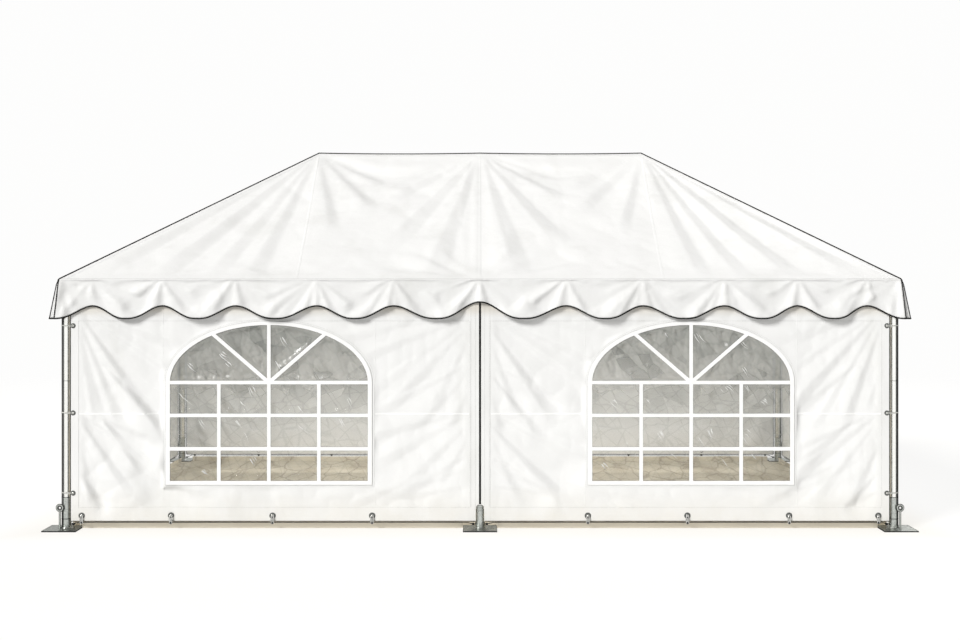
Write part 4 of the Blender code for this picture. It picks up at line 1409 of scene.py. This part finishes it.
def eyelet(bundle, centre, out, scale=1.0):
    """A dark patch with a plated ring standing on it, and a black disc in the ring as painted shade
    in its hole.
    """
    patch = [(0.0310, 0.0), (0.0310, 0.0014), (0.0285, 0.0024), (0.0150, 0.0026), (0.0075, 0.0026)]
    ring = [(0.0135, 0.0024), (0.0135, 0.0036), (0.0115, 0.0046), (0.0090, 0.0040),
            (0.0080, 0.0028)]
    # The hole is a black disc: painted shade seen through the eyelet.
    hole = [(0.0079, 0.0026), (0.0068, 0.0030)]
    for profile, mark in ((patch, 0), (ring, 1), (hole, 2)):
        profile = [(radius * scale, height) for radius, height in profile]
        bundle.add(*lathe(profile, centre, out, 18), mark)


def hook(bundle, side, run, face):
    """A snap hook hanging from its eyelet, with a dark latch round the cable."""
    middle = (FOOT_EYELET_Z + CABLE_Z) / 2 - 0.004
    cos, sin = np.cos(turns(24)), np.sin(turns(24))
    wide, tall = 0.0125, (FOOT_EYELET_Z - CABLE_Z) / 2 + 0.006
    u = run + wide * np.sign(cos) * np.abs(cos) ** 0.6
    z = middle + tall * np.sign(sin) * np.abs(sin) ** 0.8
    bundle.add(*tube(side.points(u, face + 0.009, z), 0.0056, 8, closed=True), 1)
    gate = side.points(np.full(3, run), face + 0.0095,
                       np.linspace(middle - 0.020, middle + 0.018, 3))
    bundle.add(*tube(gate, 0.0050, 8), 1)
    tip = side.points(np.full(2, run), face + 0.0095, np.array((CABLE_Z - 0.010, CABLE_Z + 0.006)))
    bundle.add(*tube(tip, 0.0088, 10), 2)


def tie(bundle, side, run, post, inward, face, height):
    """The lace of one eyelet: two strands to the post, a loop round it, and a knot."""
    share = np.linspace(0, 1, 9)
    for rise in (-TIE_RISE, TIE_RISE):
        reach = run + (post - inward * 0.012 - run) * share
        bow = face + 0.006 * np.sin(math.pi * share) - 0.006 * share
        strand = side.points(reach, bow, height + rise * (1 - share) + 0.5 * rise * share)
        bundle.add(*tube(strand, TIE_RADIUS, 6))
    cos, sin = np.cos(turns(24)), np.sin(turns(24))
    loop = side.points(post + (POST_RADIUS + 0.0098) * cos, (POST_RADIUS + 0.0035) * sin,
                       height + 0.002 * sin)
    bundle.add(*tube(loop, TIE_RADIUS, 6, closed=True))
    knot = side.points(run + 0.006 * cos, face + 0.0055, height + 0.006 * sin)
    bundle.add(*tube(knot, 0.0028, 6, closed=True))


def make_fittings(panel, patch, plated, dark, lace):
    """Eyelets down the outer edges tied to the posts, and hooks along the foot."""
    parts, ties = Bundle(), Bundle()
    side = panel.side
    face = panel.face + 0.0004
    for end, inward in ((panel.start, 1), (panel.end, -1)):
        if panel.joint * inward < 0:
            continue
        run = end + inward * EYELET_INSET
        for height in EYELETS_Z:
            eyelet(parts, panel.points(run, height, FABRIC), side.out, 0.80)
            tie(ties, side, run, end - inward * POST_GAP, inward, face, height)
    for run in hook_runs(panel):
        eyelet(parts, panel.points(run, FOOT_EYELET_Z, FABRIC), side.out)
        hook(parts, side, run, face)
    fittings = parts.build(panel.named("_hooks"), [patch, plated, dark], "steel", angle=50)
    lacing = ties.build(panel.named("_post_ties"), [lace], "cord")
    return fittings, lacing


def hook_runs(panel):
    if not panel.joint:
        return END_HOOKS
    return [-panel.joint * run for run in LONG_HOOKS]


def make_cable(node, side, start, end, material):
    """A twisted cable from sleeve to sleeve along the foot of the wall."""
    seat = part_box("front_middle_post")[1].x + 0.006
    low, high = start + seat, end - seat
    offset = POST_RADIUS + 0.0033
    bends = ((low, 0.0, CABLE_FOOT_Z), (low + CABLE_RUN_IN / 4, 0.0, CABLE_FOOT_Z),
             (low + CABLE_RUN_IN, offset, CABLE_Z), (high - CABLE_RUN_IN, offset, CABLE_Z),
             (high - CABLE_RUN_IN / 4, 0.0, CABLE_FOOT_Z), (high, 0.0, CABLE_FOOT_Z))
    places, outs, levels = zip(*bends)
    runs = lines(places, 0.015)
    path = side.points(runs, np.interp(runs, places, outs), np.interp(runs, places, levels))
    rope = Bundle()
    rope.add(*tube(path, CABLE_RADIUS, 9, lobes=0.16, pitch=0.07))
    cos, sin = 0.0085 * np.cos(turns(16)), 0.0085 * np.sin(turns(16))
    for place, way in ((low, 1), (high, -1)):
        for turn in range(3):
            centre = place + way * (0.012 + 0.008 * turn)
            loop = side.points(centre + 0 * cos, cos, CABLE_FOOT_Z + sin)
            rope.add(*tube(loop, 0.0042, 6, closed=True))
    piece = rope.build(node.replace("_cable", "_foot_cable"), [material], "cord")
    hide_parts(node)


def make_cables(material):
    for node, side in (("front_left_cable", FRONT), ("front_right_cable", FRONT),
                       ("back_left_cable", BACK), ("back_right_cable", BACK)):
        turn = side.along.x if "right" in node else -side.along.x
        start, end = sorted((0.0, turn * HALF_LENGTH))
        make_cable(node, side, start, end, material)
    for node, side in (("left_cable", LEFT), ("right_cable", RIGHT)):
        make_cable(node, side, -HALF_DEPTH, HALF_DEPTH, material)


def make_joint(side, binding):
    """The closing tape over the middle post, with a rounded cord in it; its black also paints the
    shade in the gap between the two walls.
    """
    low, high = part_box(f"{side.name}_wall_joint")
    inner = min(abs(low.y), abs(high.y)) - HALF_DEPTH
    z = lines([low.z + 0.001, high.z - 0.001], 0.05)
    profile = ((-0.0100, 0.0), (-0.0095, 0.0012), (-0.0050, 0.0014), (-0.0040, 0.0034),
               (0.0, 0.0048), (0.0040, 0.0034), (0.0050, 0.0014), (0.0095, 0.0012), (0.0100, 0.0))
    tape = Bundle()
    columns = [side.points(across + 0 * z, inner + lift, z) for across, lift in profile]
    points = np.stack(columns, 1)
    faces = [list(face) for face in grid_faces(*points.shape[:2], closed=True)]
    count = len(profile)
    last = (len(z) - 1) * count
    faces += [list(range(count))[::-1], list(range(last, last + count))]
    tape.add(points, faces)
    piece = tape.build(f"{side.name}_joint_tape", [binding], "binding", angle=40)
    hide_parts(f"{side.name}_wall_joint")


def sheet_height(u, v, half_x, half_y):
    """Height of the floor sheet, creased between scattered places and flat along its edges."""
    chance = np.random.default_rng(5)
    seeds = chance.random((420, 2)) * (2 * half_x, 2 * half_y) - (half_x, half_y)
    flat = np.stack((u.ravel(), v.ravel()), -1)
    flat = flat + 0.05 * np.stack((np.sin(7 * flat[:, 1]), np.sin(6 * flat[:, 0])), -1)
    spans = np.linalg.norm(flat[:, None, :] - seeds[None, :, :], axis=2)
    spans.partition(1, axis=1)
    gap = (spans[:, 1] - spans[:, 0]).reshape(u.shape)
    height = SHEET_Z + 0.0055 * np.exp(-gap / 0.035) + 0.002 * crumple(u, v, 0.4, 9)
    edge = np.minimum(half_x - np.abs(u), half_y - np.abs(v))
    return SHEET_Z + (height - SHEET_Z) * smooth(edge / 0.06)


def add_upstand(sheet, side, reach, start, end):
    """One turned-up edge of the floor sheet, leaning a little in and out."""
    run = lines([start + 0.002, end - 0.002], 0.04)[None, :]
    rise = np.array((0.0, 0.25, 0.6, 1.0))[:, None]
    lean = reach - side.reach - 0.004 + 0.004 * np.sin(9 * run) * rise
    level = 0.0024 + rise * (UPSTAND - 0.004 * crumple(run, 0 * run, 0.3, 4))
    sheet.add_grid(side.points(run, lean, level))


def make_ground_sheet(material):
    """A creased floor sheet laid flat, cut back round the base plates, with turned-up edges."""
    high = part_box("ground_sheet")[1]
    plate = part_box("back_right_base")[0]
    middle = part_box("back_middle_base")[1].x + BASE_GAP
    half_x, half_y = high.x, high.y
    notch_x, notch_y = plate.x - BASE_GAP, plate.y - BASE_GAP
    x = lines([-half_x, -notch_x, -middle, middle, notch_x, half_x], 0.045)
    y = lines([-half_y, -notch_y, notch_y, half_y], 0.045)
    u, v = np.meshgrid(x, y)
    centre_u = (u[:-1, :-1] + u[1:, 1:]) / 2
    centre_v = (v[:-1, :-1] + v[1:, 1:]) / 2
    beside = (np.abs(centre_u) > notch_x) | (np.abs(centre_u) < middle)
    keep = ~(beside & (np.abs(centre_v) > notch_y))
    corner = (np.abs(u) > notch_x + NEAR) & (np.abs(v) > notch_y - 0.05)
    height = np.where(corner, SHEET_Z, sheet_height(u, v, half_x, half_y))
    sheet = Bundle()
    sheet.add(*used_only(np.stack((u, v, height), -1), grid_faces(*u.shape, keep=keep)))
    for side in (FRONT, BACK):
        add_upstand(sheet, side, half_y, -notch_x, -middle)
        add_upstand(sheet, side, half_y, middle, notch_x)
    for side in (LEFT, RIGHT):
        add_upstand(sheet, side, half_x, -notch_y, notch_y)
    piece = sheet.build("floor_sheet", [material], "sheeting")
    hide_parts("ground_sheet")


def stands():
    """Each post's place, the way out of the tent, whether it is a corner, and its base's box."""
    for row, y, out in (("front", -HALF_DEPTH, -1), ("back", HALF_DEPTH, 1)):
        for place, x in (("left", -HALF_LENGTH), ("middle", 0.0), ("right", HALF_LENGTH)):
            yield x, y, out, place != "middle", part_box(f"{row}_{place}_base")


def collar(centre, inner, outer, tall, bevel, segments=28):
    """A low ring round an upright tube."""
    profile = ((inner, 0.0), (outer, bevel), (outer, tall - bevel), (inner, tall))
    return lathe(profile, centre, UP, segments)


def make_post_details(dark):
    """Keder channels down both flanks of every post, black as painted shade along the flanks, and
    its joint ring.
    """
    channels = Bundle()
    for x, y, _, _, box in stands():
        foot = box[1].z + 0.001
        for flank in (-1, 1):
            centre = (x + flank * (POST_RADIUS - 0.0005), y, foot)
            axes = ((0, 1, 0), (-flank, 0, 0), UP)
            channels.add(*block(centre, axes, (0.0140, 0.0120, POST_TOP - foot - 0.001)))
        channels.add(*collar((x, y, 1.430), POST_RADIUS, POST_RADIUS + 0.0008, 0.0040, 0.0006, 24))
    channels.build("post_channels", [dark], "aluminium", angle=40)


def plate_edges(low, high):
    """Dark strips round one base plate, painted shade along its edges."""
    proud, height = 0.0030, PLATE_TOP + 0.0008
    middle = (low + high) / 2
    wide, deep = high.x - low.x + 2 * proud, high.y - low.y
    axes = ((1, 0, 0), (0, 1, 0), (0, 0, 1))
    shapes = []
    for way in (-1, 1):
        along_y = middle.y + way * (deep + proud) / 2
        along_x = middle.x + way * (wide - proud) / 2
        shapes.append(block((middle.x, along_y, 0.0), axes, (wide, proud, height)))
        shapes.append(block((along_x, middle.y, 0.0), axes, (proud, deep, height)))
    return shapes


def make_sleeve_details(dark, plated):
    """Rims, grooves and weld beads of the sleeves, middle clamps, peg eyes, and dark plate edges of
    painted shade.
    """
    rings = Bundle()
    for x, y, out, corner, box in stands():
        for height, proud in ((box[1].z - 0.0040, 0.0010), (SLEEVE_GROOVE_Z, 0.0008)):
            if height > 0.15 or corner:
                rings.add(*collar((x, y, height), POST_RADIUS + 0.002, SLEEVE_RADIUS + proud,
                                  0.0040, 0.0004))
        for strip in plate_edges(*box):
            rings.add(*strip)
        bead = [(SLEEVE_RADIUS - 0.001 + 0.0055 * math.cos(a), 0.0055 * math.sin(a))
                for a in np.linspace(0, math.pi / 2, 5)]
        rings.add(*lathe(bead, (x, y, PLATE_TOP), UP, 28), 1)
        if corner:
            eye = np.array((x + math.copysign(PEG_X, x), y + out * PEG_Y, PEG_EYE_Z))
            ring = np.stack((np.cos(turns(24)), 0 * turns(24), np.sin(turns(24))), -1)
            rings.add(*tube(eye + ring * 0.0158, 0.0066, 8, closed=True), 1)
            rings.add(*tube(eye + ring * 0.0372, 0.0024, 6, closed=True))
        else:
            for height in (0.1835, 0.2145):
                rings.add(*collar((x, y, height), SLEEVE_RADIUS, SLEEVE_RADIUS + 0.0036,
                                  0.0025, 0.0003))
            axes = ((0, 1, 0), UP, (-1, 0, 0))
            centre = (x - SLEEVE_RADIUS - 0.001, y + out * 0.012, 0.199)
            rings.add(*block(centre, axes, (0.020, 0.030, 0.012), 0.75), 1)
    rings.build("sleeve_details", [dark, plated], "steel", angle=45)


def dress_frame(materials):
    """Give every frame node that stays its own finish."""
    for name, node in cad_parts.items():
        if name.endswith("_base"):
            finish = materials["steel"]
        elif name.endswith(("_post", "_rail", "_beam", "_rafter")):
            finish = materials["aluminium"]
        else:
            continue
        if not node.data.materials:
            node.data.materials.append(finish)
        for place in range(len(node.data.materials)):
            node.data.materials[place] = finish


def paint_floor():
    """A pale floor with a painted warm contact shadow round the foot of the tent, that thins out
    far away.
    """
    paint = Paint("studio_floor", Roughness=0.95, Specular_IOR_Level=0.0, Emission_Strength=0.83,
                  Base_Color=(0.20, 0.197, 0.188, 1.0))
    gaps = [paint.combine('SUBTRACT', paint.combine('ABSOLUTE', paint.axis(letter)), reach + 0.10)
            for letter, reach in (("X", HALF_LENGTH), ("Y", HALF_DEPTH))]
    near = paint.mapped(paint.combine('MAXIMUM', *gaps), 0.0, 0.70, kind='SMOOTHSTEP')
    far = paint.node("VectorMath", [(0, paint.place)], operation='LENGTH').outputs["Value"]
    # Painted contact shadow: the floor's glow is warmer and dimmer within 0.7 m of the tent's foot.
    paint.set(Emission_Color=paint.mixed(near, (0.945, 0.925, 0.885, 1.0), (1.0, 1.0, 0.997, 1.0)),
              Alpha=paint.mapped(far, 9.0, 22.0, 1.0, 0.0))
    return paint.material


def backdrop(name, corners, material):
    """One flat sheet of the stage."""
    mesh = bpy.data.meshes.new(name)
    mesh.from_pydata(corners, [], [(0, 1, 2, 3)])
    mesh.materials.append(material)
    return placed(name, mesh)


def make_floor():
    """A wide floor just under the tent, so that no horizon shows."""
    reach, level = 60.0, -0.001
    floor = backdrop("floor", [(-reach, -reach, level), (reach, -reach, level),
                               (reach, reach, level), (-reach, reach, level)], paint_floor())
    floor.visible_glossy = False


def add_card(name, corners, tone, glow):
    """A card that only the gloss of the metal and the film sees."""
    paint = Paint(name, Roughness=0.9, Specular_IOR_Level=0.0, Emission_Strength=glow,
                  Base_Color=(tone, tone, tone, 1.0), Emission_Color=(1.0, 0.995, 0.98, 1.0))
    card = backdrop(name, corners, paint.material)
    card.visible_camera = False
    card.visible_diffuse = False
    card.visible_transmission = False
    card.visible_shadow = False


def make_cards():
    """Dark cards left and right of the tent, and bright ones in front of it and behind it."""
    for name, x in (("left_card", -11.0), ("right_card", 11.0)):
        corners = [(x, -8.0, -4.0), (x, 12.0, -4.0), (x, 12.0, 12.0), (x, -8.0, 12.0)]
        add_card(name, corners, 0.02, 0.0)
    for name, y, reach, glow in (("front_card", -20.0, 20.0, 0.85), ("back_card", 18.0, 12.0, 0.7)):
        corners = [(-reach, y, -8.0), (reach, y, -8.0), (reach, y, 9.0), (-reach, y, 9.0)]
        add_card(name, corners, 0.5, glow)


def add_lamp(name, kind, energy):
    light = bpy.data.lights.new(name, kind)
    light.energy = energy
    return placed(name, light)


def add_sun(name, towards, energy, spread, colour):
    """A sun with the width of its light in degrees."""
    lamp = add_lamp(name, 'SUN', energy)
    lamp.data.angle = math.radians(spread)
    lamp.data.color = colour
    lamp.rotation_mode = 'QUATERNION'
    lamp.rotation_quaternion = towards.to_track_quat('Z', 'Y')


def add_panel_light(name, place, tilt, size, energy):
    """A soft panel that only lights, tilted by degrees."""
    lamp = add_lamp(name, 'AREA', energy)
    lamp.data.shape = 'RECTANGLE'
    lamp.data.size, lamp.data.size_y = size
    lamp.location = place
    lamp.rotation_euler = (math.radians(tilt), 0, 0)
    lamp.visible_camera = False
    lamp.visible_glossy = False


def make_sky():
    """A pale sky that lights less than the camera sees of it."""
    world = bpy.data.worlds.new("daylight")
    bpy.context.scene.world = world
    world.use_nodes = True
    nodes, links = world.node_tree.nodes, world.node_tree.links
    lit = nodes["Background"]
    lit.inputs["Color"].default_value = (1.0, 0.985, 0.955, 1.0)
    lit.inputs["Strength"].default_value = 0.30
    seen = nodes.new("ShaderNodeBackground")
    seen.inputs["Color"].default_value = (0.985, 0.985, 0.98, 1.0)
    seen.inputs["Strength"].default_value = 1.0
    path = nodes.new("ShaderNodeLightPath")
    mix = nodes.new("ShaderNodeMixShader")
    links.new(path.outputs["Is Camera Ray"], mix.inputs[0])
    links.new(lit.outputs[0], mix.inputs[1])
    links.new(seen.outputs[0], mix.inputs[2])
    links.new(mix.outputs[0], nodes["World Output"].inputs["Surface"])


def make_stage():
    """Soft daylight from the upper left, a little light inside, and the camera."""
    make_floor()
    make_cards()
    make_sky()
    add_sun("key", LIGHT, 3.35, 20, (1.0, 0.997, 0.99))
    add_sun("fill", Vector((0.52, 0.77, 0.36)), 1.7, 30, (0.985, 0.99, 1.0))
    add_panel_light("inside_high", (0.0, -1.0, 2.15), 38, (6.5, 1.6), 106)
    add_panel_light("inside_low", (0.0, 1.25, 0.40), 92, (7.0, 0.5), 20)
    camera = placed("camera", bpy.data.cameras.new("camera"))
    camera.data.lens = 50.0
    camera.data.sensor_width = 36.0
    camera.data.shift_y = -0.0365
    camera.location = (0.0, -15.4, 2.357)
    camera.rotation_euler = (math.pi / 2, 0, 0)
    bpy.context.scene.camera = camera
    bpy.context.scene.view_settings.view_transform = 'Standard'


def main():
    paints = {name: paint_fabric(name, *tones) for name, tones in FABRICS.items()}
    paints.update((name, paint_small(name, **values)) for name, values in SMALL_PARTS.items())
    canopy, walling, binding = paints["canopy"], paints["walling"], paints["binding"]
    patch, plated = paints["eyelet_patch"], paints["plated"]
    film = paint_film()

    make_stage()
    dress_frame({"aluminium": paint_aluminium(), "steel": paint_steel()})
    make_roof(canopy)
    make_piping(binding)
    make_roof_seams(canopy)
    make_valance(paints["valance_cloth"], binding)
    for place, centre, seed in (("left", -WINDOW_X, 31), ("right", WINDOW_X, 44)):
        make_bars(place, centre, paints["glazing_bars"], paints["pane_shade_line"])
        make_film(place, centre, film, seed)
        make_film_creases(place, centre, paints["film_glint_creases"], seed)
    for panel in make_panels():
        cloth = make_wall(panel, walling)
        trim = make_wall_trim(panel, walling, paints["weld"])
        edge = make_foot_binding(panel, binding)
        stitches = make_stitches(panel, paints["thread"])
        fittings, ties = make_fittings(panel, patch, plated, binding, paints["lace"])
    make_cables(paints["cord"])
    for side in (FRONT, BACK):
        make_joint(side, binding)
    make_ground_sheet(paint_sheeting())
    make_post_details(binding)
    make_sleeve_details(binding, patch)


main()
